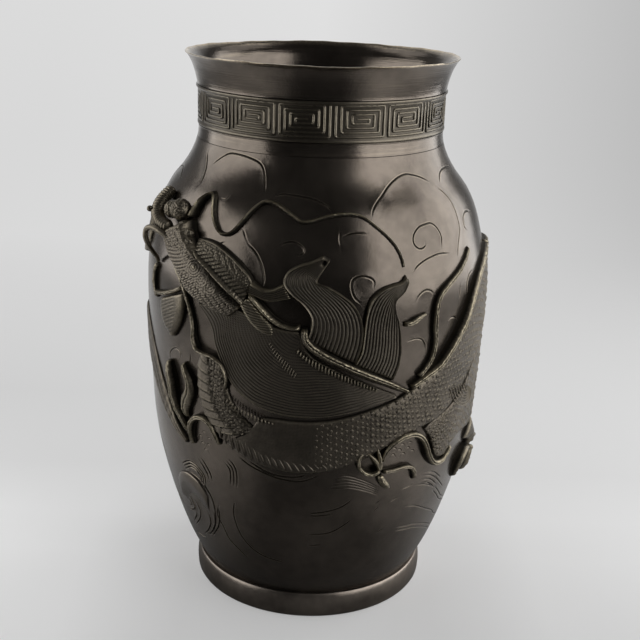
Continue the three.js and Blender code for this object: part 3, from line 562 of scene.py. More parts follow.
# Each stroke is a list of [degrees, height] points. Where it differs from a single line of the
# usual depth, it also says how many lines run side by side, how far apart and how deep they are.
strokes = [
    # Clouds on the shoulder
    [(-59, 251.7), (-56.7, 248.6), (-54.3, 244.5), (-53, 241), (-52.5, 238.7), (-53, 236.6)],
    [(-51, 247), (-48, 250), (-43, 253.4), (-38, 254), (-32, 253.4), (-26.8, 252), (-24.2, 250),
     (-22.5, 246.5), (-21.3, 242.4), (-20.6, 239.4)],
    [(-16, 238), (-12, 239), (-3.5, 238), (0.3, 236.6), (3.3, 234.6), (5, 232.2)],
    [(18.6, 230.5), (19.1, 232.5), (20.3, 234.6), (22, 236.6), (24.2, 238.7), (27.2, 241.8),
     (30.2, 244.2), (34, 246.2), (37.8, 247), (41, 246.4), (45.5, 244.8), (50, 242)],
    [(53, 239), (55.3, 236.4), (56.6, 233), (57.2, 229), (57, 223), (56.4, 218), (54, 212),
     (52.3, 205.7)],
    [(56.6, 240.4), (59, 243.2), (62, 245), (67, 245.7), (76, 245)],
    # Hooks and spirals round the whisker
    [(-38, 234), (-36.2, 233.4), (-35, 234), (-34.4, 235.3), (-34.5, 236.2)],
    [(-25, 222), (-23.4, 218)],
    [(-34, 213), (-30.6, 215.3)],
    [(-22.5, 216), (-19.3, 212), (-17, 206.5), (-16, 201), (-16.2, 197)],
    [(-12, 216.5), (-10, 218.2), (-7.3, 218.8), (-5, 217.2), (-4, 215.2), (-4.6, 213.5),
     (-6.5, 212.4)],
    [(7.2, 223.7), (7, 220.6), (7.4, 217.6)],
    [(8, 222), (11.8, 223.3), (16, 223)],
    [(13.5, 190.5), (11.8, 193), (10.8, 196.5), (10.6, 200), (11.2, 202.2), (12.7, 203.4),
     (14.8, 203.4), (16.9, 202.2), (17.8, 200.5), (17.6, 198.5)],
    [(37.4, 217), (37.6, 215.2), (36, 213.8), (34.4, 214), (32.9, 216), (32.6, 218.6), (33.5, 221.3),
     (35.7, 223.7), (38.2, 224.5), (41.2, 224.7), (43.3, 223), (44.6, 220.3), (45.2, 217.6),
     (44.9, 214.8), (44.4, 212)],
    [(31.4, 203), (33, 205.6), (35.2, 207.3), (38.2, 208.7), (43, 209.7), (48, 208.7)],
    [(32.3, 189), (33, 191.4), (34.4, 193), (36, 193.7), (37.8, 193), (39, 191.4), (39.7, 190.3)],
    [(29, 168.6), (30.6, 169.3), (32.7, 169.6), (34.8, 168.6), (36, 166.5), (37, 163)],
    [(62, 216.3), (60.6, 218), (60.4, 220), (61.2, 222.7), (63.4, 224.4), (66, 224.8), (69.3, 223.8)],
    [(61.2, 196), (58.7, 195), (57, 192), (56.6, 188.7), (57, 185.3), (59, 182.6), (62, 180.2)],
    [(46, 174.4), (47.6, 176), (49.7, 175.5), (51.4, 173)],
    [(52.5, 191.5), (51.7, 184)],
    # Left side, below the head
    [(-54, 146.3), (-54.3, 149), (-53, 151.5), (-51.3, 153.2), (-49.6, 153.8), (-48, 152.8),
     (-47.7, 150.8), (-48.3, 149.4)],
    [(-42.6, 155), (-42.8, 152.5), (-43.2, 149), (-44, 146.7)],
    # Waves below the trunk
    ([(-40.2, 96.7), (-38.4, 93.4), (-36.6, 89), (-36, 84)], 2, 2.6, 1.4),
    ([(-52, 85.8), (-49.3, 88.7), (-46.6, 90.6), (-43.4, 90.2), (-41, 88), (-39.5, 84.8),
      (-39.8, 79)], 3, 1.7, 1.5),
    ([(-28, 101.4), (-26.2, 98.5), (-25.3, 95), (-25.3, 89.8), (-25.7, 84.8)], 3, 2.0, 1),
    [(-23.9, 104.3), (-20.3, 100.7), (-15.7, 97.8), (-10.3, 95.3), (-4.4, 94.5), (-0.8, 95.6),
     (2.4, 98.5)],
    [(-20.3, 103), (-14.4, 98.5), (-9.8, 96.9), (-4.9, 97.0), (-1.7, 98.5)],
    ([(43, 90), (48.5, 87.2), (54.5, 80.3)], 4, 2.2, 1),
    [(32.7, 83.7), (38, 84.8)],
    ([(-35.6, 68), (-35.9, 60.4), (-38.5, 51.8), (-43.6, 43)], 1, 0, 1.4),
    ([(-38.4, 61.8), (-39.4, 54.3), (-42.4, 47.4), (-46.2, 41.8)], 1, 0, 1.6),
    ([(-41.8, 59.4), (-42.3, 52.6), (-45.7, 45.7), (-49.9, 40.4)], 1, 0, 1.6),
    ([(-52.4, 64.6), (-50.9, 60.8), (-50.8, 58), (-53, 55), (-57, 53)], 1, 0, 2.4),
    ([(-53.8, 61.6), (-52.9, 58.6), (-55, 56.6)], 1, 0, 2),
    ([(-48.9, 64.4), (-47.3, 58.8), (-49.2, 51.8), (-55.4, 43.4)], 1, 0, 1.7),
    ([(-50.6, 55), (-52, 51.4), (-56.4, 45.2)], 1, 0, 1.6),
    ([(-58.4, 37), (-54, 36.4), (-49.6, 38.2)], 1, 0, 1.4),
    ([(-48, 84), (-42, 81.4), (-38, 73), (-37.6, 63.5), (-39, 55), (-42, 47.4), (-47, 42)], 1, 0, 1.4),
    [(-27.4, 74.7), (-28.3, 69.3), (-28.6, 64), (-28, 57), (-26.4, 50.8), (-23, 44.7), (-18.6, 41),
     (-13.4, 39.3), (-10, 38.6)],
    [(-35, 69), (-36.7, 61.6), (-35, 54), (-33.6, 47), (-30.2, 41.6), (-26, 36.3)],
    [(0, 74.7), (4.3, 75.4), (8.6, 77), (11.5, 79), (14, 82.3)],
    [(0, 73), (4, 73.2), (7.7, 74)],
    [(0, 60.4), (5.8, 60.8), (9.6, 63), (12.5, 66.2), (15, 69.3)],
    [(0, 52.4), (4.8, 53)],
    [(23, 77.7), (25, 80)],
    [(23, 73), (25, 76)],
    [(28.8, 77), (32.6, 79.3)],
    [(26, 57), (28.8, 59.3)],
    [(40.3, 83.5), (45.6, 80.8), (50.4, 77)],
    [(50, 84), (52.8, 80), (56.6, 75), (60, 70.8)],
    ([(52.3, 75.4), (56.6, 70), (62.4, 63), (72, 56)], 2, 2.2, 1),
    [(37, 70.8), (41.3, 69.3), (45.6, 66.2), (51, 61.6), (57.6, 56.2), (62.4, 50.8), (71, 44.7)],
    ([(35.5, 57), (40.8, 55.5), (46, 54), (51.8, 50.8), (57.6, 47), (64.8, 41.6)], 2, 2.2, 1),
    # The far side, in the manner of the front
    [(96, 222), (94, 226), (95.6, 230.4), (100, 232), (104.4, 230), (105, 225.4), (101.6, 223.4)],
    [(112, 212), (117, 217), (124, 218.4), (130, 215), (132, 209.4), (128.4, 205.6)],
    [(118, 240), (126, 244), (136, 244.6), (146, 241), (152, 235)],
    [(160, 196), (158, 201), (160.6, 205.6), (165, 206.4), (168, 202.4), (166, 198.8)],
    [(-166, 230), (-160, 236), (-150, 238.4), (-140, 236), (-134, 230.4)],
    [(-150, 214), (-152.4, 219), (-149.6, 223.6), (-144.6, 224), (-141.6, 219.6), (-144, 216)],
    [(-120, 226), (-122.4, 231), (-119.6, 235.6), (-114.6, 236), (-111.6, 231.6), (-114, 228)],
    [(-92, 232), (-86, 238), (-78, 239.6), (-70, 236)],
    [(-160, 176), (-156, 182), (-149, 184), (-143, 180.6), (-141.6, 174.6)],
    [(96, 128), (101, 134), (108, 134.6), (113, 130), (112.4, 124)],
    ([(92, 96), (97, 103), (104, 106.6), (111, 104.6), (114, 98)], 3, 2.2, 1),
    ([(148, 96), (154, 102.6), (162, 104.6), (169, 100.4), (171, 93)], 3, 2.2, 1),
    ([(-172, 92), (-165, 98.6), (-156, 100), (-148, 95.6), (-144, 87)], 3, 2.2, 1),
    ([(-128, 104), (-121, 110.4), (-112, 111), (-105, 106), (-102, 97)], 3, 2.2, 1),
    ([(-96, 84), (-89, 90.6), (-80, 91.4), (-73, 86.6), (-70, 78)], 3, 2.2, 1),
    ([(84, 62), (92, 68.6), (101, 70), (110, 66), (116, 57)], 3, 2.2, 1),
    ([(124, 58), (132, 64.4), (141, 65.6), (150, 61), (155, 52)], 3, 2.2, 1),
    ([(-168, 60), (-160, 66.6), (-150, 67.4), (-142, 62.6), (-138, 54)], 3, 2.2, 1),
    ([(-124, 62), (-116, 68), (-107, 68.6), (-99, 63.6), (-96, 55)], 3, 2.2, 1),
    ([(-84, 52), (-77, 57.6), (-69, 58), (-62, 53)], 2, 2.2, 1),
]
# Fine lines that fan out below the fore claw
strokes += [([(8.4 - 0.5 * k, 98.6 - 1.95 * k), (13.4, 97 - 1.7 * k), (19, 92.9 - 1.4 * k),
              (23.8, 88.2 - 1.15 * k)], 1, 0, 0.6) for k in range(5)]
# Rough patches inside the arch of the leg's ribbon and the arch of the heel
rough_spots = [(27.4, 106.2), (29.8, 108.4), (31.4, 105.6), (33.2, 108.4), (35.2, 106), (30.8, 111.2),
               (33.8, 111.4), (27.8, 109.8), (-39.4, 109.2), (-37.6, 112), (-35.4, 109.4), (-38.6, 105.4),
               (-35.8, 105.6), (-37.2, 102.2)]
strokes += [([(a - 0.9, z), (a - 0.3, z + 1.1), (a + 0.5, z + 0.9), (a + 0.9, z - 0.3)], 1, 0, 1.8)
            for a, z in rough_spots]
groove_depth = 0.4
lip_height = 0.07
groove_rows = [-1.05, -0.64, -0.34, 0.0, 0.34, 0.64, 1.05]
row_lift = [0.0, lip_height, -0.08, -groove_depth, -0.08, lip_height, 0.0]
row_wear = [0.0, 0.35, 0.1, 0.0, 0.1, 0.35, 0.0]
row_grime = [0.0, 0.0, 0.35, 1.0, 0.35, 0.0, 0.0]
stroke_step = 0.85
shared_reach, shared_slack = 1.6, 0.12
crowded_within = 0.22
plain_reach, plain_clearance = 2.6, 2.2

plain_columns = 144
plain_rows = 60
column = np.linspace(-180, 180, plain_columns + 1) * mm_per_degree
row = np.linspace(belly_bottom, belly_top, plain_rows + 1)
plain = np.stack(np.meshgrid(column, row, indexing="ij"), -1).reshape(-1, 2)
lines, depths = [], []
for stroke in strokes:
    points, count, pitch, depth = stroke if isinstance(stroke, tuple) else (stroke, 1, 0, 1)
    middle = paced(unrolled(points), stroke_step)
    for k in range(count):
        lines.append(beside(middle, k * pitch))
        depths.append(depth)
cut = np.concatenate(lines)
tapers = np.concatenate([
    depth * np.clip(np.minimum(np.arange(len(line)), np.arange(len(line))[::-1]) / 5 + 0.12, 0, 1)
    for line, depth in zip(lines, depths)
])
row_points, row_values = [], []
for offset, lift, rubbed, darker_share in zip(groove_rows, row_lift, row_wear, row_grime):
    row_points.append(np.concatenate([beside(line, offset) for line in lines]))
    row_values.append(np.stack([lift * tapers, rubbed * tapers, darker_share * tapers], -1))
# A groove's floor comes first and its lips next, so that they are kept where points crowd.
order = [3, 1, 5, 2, 4, 0, 6]
row_points = np.concatenate([row_points[k] for k in order])
row_values = np.concatenate([row_values[k] for k in order])
distance_row = np.concatenate([np.full(len(cut), abs(groove_rows[k])) for k in order])


def nearest_gap(points, others, cell):
    """Distance from each point to the nearest of the others, up to a cell, by a grid of cells."""
    found = np.full(len(points), cell, float)
    cells = {}
    for i, key in enumerate(map(tuple, np.floor(others / cell).astype(int))):
        cells.setdefault(key, []).append(i)
    keys = np.floor(points / cell).astype(int)
    for i, (cx, cy) in enumerate(keys):
        near = [k for dx in (-1, 0, 1) for dy in (-1, 0, 1) for k in cells.get((cx + dx, cy + dy), ())]
        if near:
            found[i] = min(found[i], np.linalg.norm(others[near] - points[i], axis=1).min())
    return found


# A row's point is left out where another line runs nearer to it than its own, so strokes that
# meet share their lips.
own_gap = nearest_gap(row_points, cut, shared_reach)
keep = own_gap > distance_row - shared_slack
row_points, row_values = row_points[keep], row_values[keep]
taken, chosen = set(), []
for i, key in enumerate(map(tuple, np.round(row_points / crowded_within).astype(int))):
    if key not in taken:
        taken.add(key)
        chosen.append(i)
row_points, row_values = row_points[chosen], row_values[chosen]
at_seam = np.abs(plain[:, 0]) > 179 * mm_per_degree
at_end = (plain[:, 1] < row[0] + 0.1) | (plain[:, 1] > row[-1] - 0.1)
plain = plain[at_seam | at_end | (nearest_gap(plain, cut, plain_reach) > plain_clearance)]
flat = np.concatenate([plain, row_points])
values = np.concatenate([np.zeros((len(plain), 3)), row_values])
placed, _, laced, origins, _, _ = geometry.delaunay_2d_cdt(
    [Vector(point) for point in flat], [], [], 0, 1e-4)
origin = np.array([found[0] for found in origins])
placed = np.array([tuple(point) for point in placed])
values = values[origin]
outer = on_belly(placed[:, 0], placed[:, 1], values[:, 0])

inner_rows = np.linspace(belly_bottom, belly_top, 31)
grid_x, grid_z = np.meshgrid(column, inner_rows, indexing="ij")
inner = on_belly(grid_x.ravel(), grid_z.ravel(), -belly_wall)
faces = [tuple(face) for face in laced]
first = len(outer)
count = len(inner_rows)
for i in range(plain_columns):
    for j in range(count - 1):
        here = first + i * count + j
        faces.append((here, here + 1, here + count + 1, here + count))
for height, j, flip in ((belly_bottom, 0, False), (belly_top, count - 1, True)):
    ring = np.nonzero(np.abs(placed[:, 1] - height) < 1e-3)[0]
    ring = ring[np.argsort(placed[ring, 0])]
    for i in range(plain_columns):
        a, b = ring[i], ring[i + 1]
        c, d = first + (i + 1) * count + j, first + i * count + j
        faces.append((d, c, b, a) if not flip else (a, b, c, d))


def plain_mesh(name, points, faces, finish, marks):
    """A smooth mesh from points in metres, with the wear and grime, and any painted highlight and painted
    shade, at each of them.
    """
    mesh = bpy.data.meshes.new(name)
    mesh.from_pydata(np.asarray(points).tolist(), [], faces)
    for label, amount in marks.items():
        mark(mesh, label, amount)
    mesh.polygons.foreach_set("use_smooth", [True] * len(mesh.polygons))
    mesh.materials.append(finish)
    return put_in_scene(name, mesh)


def weld_doubles(piece, distance_mm, sharp):
    """Merges points that lie together and marks the edges that are really sharp."""
    weld = piece.modifiers.new("weld", "WELD")
    weld.merge_threshold = distance_mm * MM
    made_plain(piece, weld).data.set_sharp_from_angle(angle=math.radians(sharp))


unworn = np.zeros(len(inner))
belly_finish = bronze("belly_bronze_patina", (0.104, 0.088, 0.073, 1), (0.30, 0.255, 0.19, 1),
                      (0.022, 0.019, 0.015, 1), 0.24, relief_pits=0.35)
belly = plain_mesh("belly_engraved", np.concatenate([outer, inner]), faces, belly_finish, {
    "wear": np.concatenate([values[:, 1], unworn]), "grime": np.concatenate([values[:, 2], unworn])
})
weld_doubles(belly, 0.002, 50)
face_outwards(belly)
settle(belly, "vessel_bronze", "belly_shell")

# Neck collar: a casting brazed on the belly. It is brushed round, narrows into a rebate for the key
# band, and flares to a thin lip whose edge is rubbed pale by handling.
neck_wall = 3.0
band_bottom = belly_top + 7
band_top = band_bottom + 20.2
band_thickness = 1.2
rebate_low, rebate_top = band_bottom - seat_gap, band_top + seat_gap
neck_bottom = belly_top + seat_gap
rim_top = belly_top + neck_height
rim_thickness = 1.5
thinned_depth = 6
dented_depth = 7
neck_side = [(radius_at(z), z) for z in np.linspace(neck_bottom, rebate_low - 0.5, 6)]
flare = [(radius_at(z), z) for z in np.linspace(rebate_top + 0.5, rim_top - 1.0, 18)]
inside = []
for z in np.linspace(rim_top - 0.8, neck_bottom, 22):
    thinned = max(0, (z - rim_top + thinned_depth) / thinned_depth) ** 1.5
    inside.append((radius_at(z) - neck_wall + (neck_wall - rim_thickness) * thinned, z))
neck_finish = bronze("neck_bronze_brushed", (0.104, 0.088, 0.073, 1), (0.62, 0.52, 0.38, 1),
                     (0.022, 0.019, 0.015, 1), 0.18, brushed=1.0, streaks=0.06)
neck_collar = turned("neck_collar_brushed", [
    *neck_side, (radius_at(rebate_low) + 0.25, rebate_low - 0.2),
    (radius_at(rebate_low) + 0.2, rebate_low), (radius_at(rebate_low) - band_thickness, rebate_low),
    (radius_at(rebate_top) - band_thickness, rebate_top), (radius_at(rebate_top) + 0.1, rebate_top), *flare,
    (rim_radius - 0.12, rim_top - 0.35), (rim_radius - 0.35, rim_top - 0.08), (rim_radius - 0.7, rim_top),
    (rim_radius - 1.1, rim_top - 0.1), (rim_radius - 1.38, rim_top - 0.4), *inside
], neck_finish)
neck_points = np.array([tuple(v.co) for v in neck_collar.data.vertices]) / MM
bearing = np.arctan2(neck_points[:, 0], -neck_points[:, 1])
dents = 0.18 * np.sin(5 * bearing + 1.2) + 0.12 * np.sin(13 * bearing + 0.4)
dents = dents + 0.10 * np.sin(29 * bearing + 2.1)
near_lip = np.clip((neck_points[:, 2] - (rim_top - dented_depth)) / dented_depth, 0, 1) ** 2
mark(neck_collar.data, "wear", np.clip((neck_points[:, 2] - (rim_top - 1.1)) / 0.8, 0, 1))
lowered = neck_points.copy()
lowered[:, 2] -= near_lip * (0.35 + dents) * 0.8
neck_collar.data.vertices.foreach_set("co", (lowered * MM).ravel())
settle(neck_collar, "vessel_bronze", "neck_collar")

# Key band: a cast fretwork strip in the rebate. Fifteen squared spirals, each the mirror of the
# one before it, stand on a darker ground between a raised line above and one below.
fret_count = 15
fret_unit = 24.0
fret_start = -43.0
fret_bars = [1.2, 3.55, 5.9, 8.2]
fret_levels = [265.8, 267.9, 270.1, 272.2, 274.3, 276.5, 278.6, 280.7]
fret_width = 1.15
fret_height = 0.5
fret_tail = 2.2
fret_step = 1.04
ground_lift = 0.02
bead_proud = 0.62
band_sunk = 0.88
band_finish = bronze("key_band_worn_bronze", (0.098, 0.085, 0.067, 1), (0.25, 0.22, 0.16, 1),
                     (0.018, 0.016, 0.013, 1), 0.30, relief_pits=0.6)
ground_side = [(radius_at(z) + ground_lift, z) for z in np.linspace(band_bottom + 2.0, band_top - 2.0, 5)]
low_radius, top_radius = radius_at(band_bottom), radius_at(band_top)
key_band = turned("key_band_ground", [
    (low_radius - band_sunk, band_bottom + 0.02), (low_radius + 0.2, band_bottom + 0.02),
    (low_radius + bead_proud, band_bottom + 0.35), (low_radius + bead_proud, band_bottom + 1.15),
    (low_radius + 0.15, band_bottom + 1.6), *ground_side, (top_radius + 0.15, band_top - 1.5),
    (top_radius + bead_proud, band_top - 1.05), (top_radius + bead_proud, band_top - 0.3),
    (top_radius + 0.2, band_top - 0.02), (top_radius - band_sunk, band_top - 0.02)
], band_finish, 60)
band_points = np.array([tuple(v.co) for v in key_band.data.vertices]) / MM
band_proud_by = np.hypot(band_points[:, 0], band_points[:, 1]) - radius_at(band_points[:, 2])
mark(key_band.data, "grime", np.clip(0.5 - band_proud_by / 0.4, 0, 1))
mark(key_band.data, "wear", np.clip(0.5 * (band_proud_by / bead_proud - 0.45), 0, 0.2))
settle(key_band, "worn_bronze", "key_band")

fret, given = form_plan("fretwork", {
    "Units": "Int", "Unit Width": "Float", "Start": "Float", "Radius": "Float", "Line Width": "Float",
    "Line Height": "Float", "Roughness": "Float"
})
unit_width = given.part("Unit Width")
stations = fret.add("GeometryNodeMeshLine", {}, {"Count": given.part("Units"), "Offset": (0, 0, 0)})
station = fret.add("GeometryNodeInputIndex", {}, {})
stations = fret.marked(stations, "unit", station)
units = fret.add("GeometryNodeInstanceOnPoints", {}, {"Points": stations, "Instance": given.part("Geometry")})
units = fret.add("GeometryNodeRealizeInstances", {}, {"Geometry": units})
unit = fret.add("GeometryNodeInputNamedAttribute", {"data_type": "FLOAT"}, {"Name": "unit"})
here = fret.add("ShaderNodeSeparateXYZ", {}, {"Vector": fret.add("GeometryNodeInputPosition", {}, {})})
odd = unit % 2
mirrored = here.part("X") * (1 - odd * 2) + odd * unit_width
along_band = mirrored + unit * unit_width + given.part("Start")
flat_place = fret.add("ShaderNodeCombineXYZ", {}, {"X": along_band, "Y": here.part("Y"), "Z": 0.0})
units = fret.add("GeometryNodeSetPosition", {}, {"Geometry": units, "Position": flat_place})
line = fret.add("GeometryNodeMeshToCurve", {}, {"Mesh": units})
line = fret.add("GeometryNodeSetCurveNormal", {"mode": "Z_UP"}, {"Curve": line})
line = fret.stepped(line, fret_step * MM)
section = fret.add("GeometryNodeCurvePrimitiveQuadrilateral", {"mode": "TRAPEZOID"}, {
    "Bottom Width": given.part("Line Width"), "Top Width": given.part("Line Width") * 0.66,
    "Height": given.part("Line Height"), "Offset": 0.0
})
bars = fret.add("GeometryNodeCurveToMesh", {}, {"Curve": line, "Profile Curve": section, "Fill Caps": True})
here = fret.add("ShaderNodeSeparateXYZ", {}, {"Vector": fret.add("GeometryNodeInputPosition", {}, {})})
lump = fret.add("ShaderNodeTexNoise", {}, {"Scale": 520.0, "Detail": 2.0}) - 0.5
lifted = here.part("Z") + given.part("Line Height") * 0.5 + lump * given.part("Roughness")
radius = given.part("Radius") + lifted
angle = here.part("X") / given.part("Radius")
bent = fret.add("ShaderNodeCombineXYZ", {}, {
    "X": radius * angle.sine(), "Y": radius * angle.cosine() * -1.0,
    "Z": here.part("Y") + lump * given.part("Roughness")
})
top_side = fret.add("ShaderNodeMath", {"operation": "GREATER_THAN"}, {0: here.part("Z"), 1: 0.0})
bars = fret.marked(bars, "wear", top_side * 0.3)
bars = fret.marked(bars, "grime", 0.4 - top_side * 0.4)
bars = fret.add("GeometryNodeSetPosition", {}, {"Geometry": bars, "Position": bent})
close_form(fret, bars, given)

# Each turn goes down at one bar, across, and up at the bar opposite, one level further in.
spiral = []
for turn_number, bar in enumerate(fret_bars):
    far_bar = fret_unit - bar
    spiral += [(bar, min(8 - turn_number, 7)), (bar, turn_number), (far_bar, turn_number),
               (far_bar, 7 - turn_number)]
spiral.append((fret_bars[-1] + fret_tail, 4))
band_radius = neck_radius
mm_per_band_degree = band_radius * math.pi / 180
fret_mesh = bpy.data.meshes.new("key_fret_lines")
fret_mesh.from_pydata([(bar * mm_per_band_degree * MM, fret_levels[level] * MM, 0) for bar, level in spiral],
                      [(i, i + 1) for i in range(len(spiral) - 1)], [])
key_fret = shape_with(put_in_scene("key_fret_lines", fret_mesh), fret, {
    "Units": fret_count, "Unit Width": fret_unit * mm_per_band_degree * MM,
    "Start": fret_start * mm_per_band_degree * MM, "Radius": (band_radius + ground_lift - 0.03) * MM,
    "Line Width": fret_width * MM, "Line Height": fret_height * MM, "Roughness": 0.22 * MM,
    "Finish": band_finish
})
face_outwards(key_fret)
settle(key_fret, "worn_bronze", "key_band")

# Trunk: a long scaled body that comes from behind the beard, crosses the front and goes on
# round the back. It is made as low castings, soldered on one after the other, and its scales
# are chased one by one in staggered rows.
sheet_floor = -0.5


def spread(values, share):
    """Values that are spaced evenly from 0 to 1, read at a share."""
    return np.interp(share, np.linspace(0, 1, len(values)), values)


def rails_of_line(line, widths):
    """The two edges of a strand that is drawn as one line with a width."""
    middle = np.array(unrolled(line))[:, :2]
    count = 4 * (len(line) - 1)
    share = np.linspace(0, 1, count + 1)
    points = smooth_line(middle, share)
    half = spread(widths, share) / 2
    direction = np.gradient(points, axis=0)
    direction /= np.linalg.norm(direction, axis=1, keepdims=True)
    across = np.stack([-direction[:, 1], direction[:, 0]], -1) * half[:, None]
    return points + across, points - across


def blurred(values, reach):
    """A field with each value replaced by the mean of those near it."""
    for axis, far in enumerate(reach):
        far = int(max(far, 1))
        padded = np.concatenate([np.repeat(values.take([0], axis), far, axis), values,
                                 np.repeat(values.take([-1], axis), far, axis)], axis)
        run = np.cumsum(np.concatenate([np.zeros_like(padded.take([0], axis)), padded], axis), axis)
        size = 2 * far + 1
        values = (run.take(np.arange(size, run.shape[axis]), axis)
                  - run.take(np.arange(0, run.shape[axis] - size), axis)) / size
    return values


class Field:
    """The places of a sheet of relief: unrolled x, height y, length s, share across t, width w."""

    def __init__(self, left, right, step, columns):
        fine = np.linspace(0, 1, 500)
        middle = (smooth_line(left, fine) + smooth_line(right, fine)) / 2
        gone = np.concatenate([[0], np.cumsum(np.linalg.norm(np.diff(middle, axis=0), axis=1))])
        stops = np.linspace(0, gone[-1], max(int(gone[-1] / step), 4) + 1)
        self.share = np.interp(stops, gone, fine)
        a, b = smooth_line(left, self.share), smooth_line(right, self.share)
        self.t = np.linspace(0, 1, columns + 1)[None, :] + 0 * self.share[:, None]
        self.x = a[:, :1] + (b - a)[:, :1] * self.t
        self.y = a[:, 1:2] + (b - a)[:, 1:2] * self.t
        self.s = stops[:, None] + 0 * self.t
        self.w = np.linalg.norm(b - a, axis=1)[:, None] + 0 * self.t
        self.length = gone[-1]

    def from_edge(self):
        """Distance in millimetres from the nearer long edge."""
        return np.minimum(self.t, 1 - self.t) * self.w

    def from_end(self):
        """Distance in millimetres from the nearer end."""
        return np.minimum(self.s, self.length - self.s)


def sheet_field(left, right, step, columns):
    """The places of a sheet between two rails of [degrees, height] points."""
    return Field(np.array(unrolled(left)), np.array(unrolled(right)), step, columns)


def raised(field, heights, edge_reach, start=2.0, finish=2.0, least=0.2):
    """A plump casting: full height inside, rounded down at its edges and ends."""
    full = spread(heights, field.share)[:, None]
    inwards = np.clip(field.from_edge() / np.minimum(edge_reach, field.w / 2), 0, 1)
    rise = least + (1 - least) * np.sqrt(1 - (1 - inwards) ** 2)
    for reach, gone in ((start, field.s), (finish, field.length - field.s)):
        if reach:
            rise = rise * (0.3 + 0.7 * np.sqrt(1 - (1 - np.clip(gone / reach, 0, 1)) ** 2))
    return full * rise


def combed(field, count, depth):
    """Lines of hair that follow the rails: rounded ridges with narrow valleys between them."""
    phase = (field.t * count) % 1
    fade = np.clip(field.w / count / 0.75, 0, 1)
    return depth * fade * (np.sqrt(np.maximum(1 - (2 * phase - 1) ** 2, 0)) - 0.8)


def scribbled(field, size, depth):
    """Rough chasing: small overlapping waves in several directions."""
    x, y = field.x / size, field.y / size
    waves = np.sin(3.1 * x + 1.7 * np.sin(2.3 * y)) * np.sin(2.7 * y + 1.9 * np.sin(1.9 * x + 0.6))
    return depth * (waves + 0.5 * np.sin(5.3 * x + 4.1 * y) * np.sin(4.7 * y - 3.3 * x))


def ridges(phase):
    """Rounded ridges with narrow valleys, one for each whole step of the phase."""
    return np.sqrt(np.maximum(1 - (2 * (phase % 1) - 1) ** 2, 0)) - 0.7


def window(value, low, high, soft=0.8):
    """1 between two values and 0 outside them, with soft edges."""
    gone_in = 1 / (1 + np.exp(np.clip(-(value - low) / soft, -60, 60)))
    return gone_in / (1 + np.exp(np.clip((value - high) / soft, -60, 60)))


def hatched(field, degrees, pitch, length, bend=0.0):
    """Short chisel strokes in staggered rows that run at an angle from level."""
    turn_by = math.radians(degrees)
    run = field.x * math.cos(turn_by) + field.y * math.sin(turn_by)
    rank = (field.y * math.cos(turn_by) - field.x * math.sin(turn_by)) / pitch + bend * np.sin(run / 2.3)
    beat = run / length + 0.618 * np.floor(rank) + 0.2 * np.sin(3 * np.floor(rank))
    taper = 1 - (2 * (beat % 1) - 1) ** 4
    return (ridges(rank) + 0.7) * taper - 0.62


def rolled_edge(field, breadth, height):
    """A narrow raised roll along both long edges."""
    inwards = field.from_edge() / breadth
    return height * np.exp(-((inwards - 0.7) / 0.55) ** 2)


def laid_sheet(name, field, lift, finish, wear=0, grime=0, mean_reach=1.4, floors=4, rub=0.45):
    """A closed casting on the belly: its shaped top, upright edges and a floor in the solder."""
    step_t = field.w.mean() / (field.t.shape[1] - 1)
    step_s = field.length / (field.t.shape[0] - 1)
    # Points lower than the surface round them are painted darker, partly patina in the hollows and partly
    # painted shade; points higher than it are rubbed paler.
    mean = blurred(lift, (mean_reach / step_s, mean_reach / step_t))
    proud = lift - mean
    rubbed = np.clip(proud / 0.28, 0, 1) * rub + wear
    darker_share = np.clip(-proud / 0.28, 0, 1) + grime

    def bordered(values, edge=None):
        out = np.pad(values, 1, mode="edge")
        if edge is not None:
            out[0], out[-1], out[:, 0], out[:, -1] = edge, edge, edge, edge
        return out

    x, y = bordered(field.x), bordered(field.y)
    z = bordered(lift, sheet_floor)
    rows_count, columns_count = x.shape
    top = on_belly(x, y, z).reshape(-1, 3)
    number = np.arange(rows_count * columns_count).reshape(rows_count, columns_count)
    quads = np.stack([number[:-1, :-1], number[:-1, 1:], number[1:, 1:], number[1:, :-1]], -1)
    faces = quads.reshape(-1, 4).tolist()
    shares = np.linspace(0, 1, floors + 1)[1:-1]
    below_x = x[:, :1] + (x[:, -1:] - x[:, :1]) * shares
    below_y = y[:, :1] + (y[:, -1:] - y[:, :1]) * shares
    below = on_belly(below_x, below_y, sheet_floor).reshape(-1, 3)
    under = np.concatenate([number[:, :1], len(top) + np.arange(len(below)).reshape(rows_count, -1),
                            number[:, -1:]], 1)
    quads = np.stack([under[:-1, :-1], under[1:, :-1], under[1:, 1:], under[:-1, 1:]], -1)
    faces += quads.reshape(-1, 4).tolist()
    faces.append(number[0, ::-1].tolist() + under[0, 1:-1].tolist())
    faces.append(number[-1].tolist() + under[-1, 1:-1][::-1].tolist())
    marks = {}
    # Each casting's upright edges, where it meets the belly, are painted darker: painted shade at the join.
    # The floor's points get half of each amount.
    for label, amount, at_edge in (("wear", rubbed, 0.05), ("grime", darker_share, 0.4)):
        amount = bordered(np.clip(amount, 0, 1), at_edge)
        marks[label] = np.concatenate([amount.ravel(), np.full(len(below), 0.5)])
    piece = plain_mesh(name, np.concatenate([top, below]), faces, finish, marks)
    face_outwards(piece)
    piece.data.set_sharp_from_angle(angle=math.radians(75))
    return piece


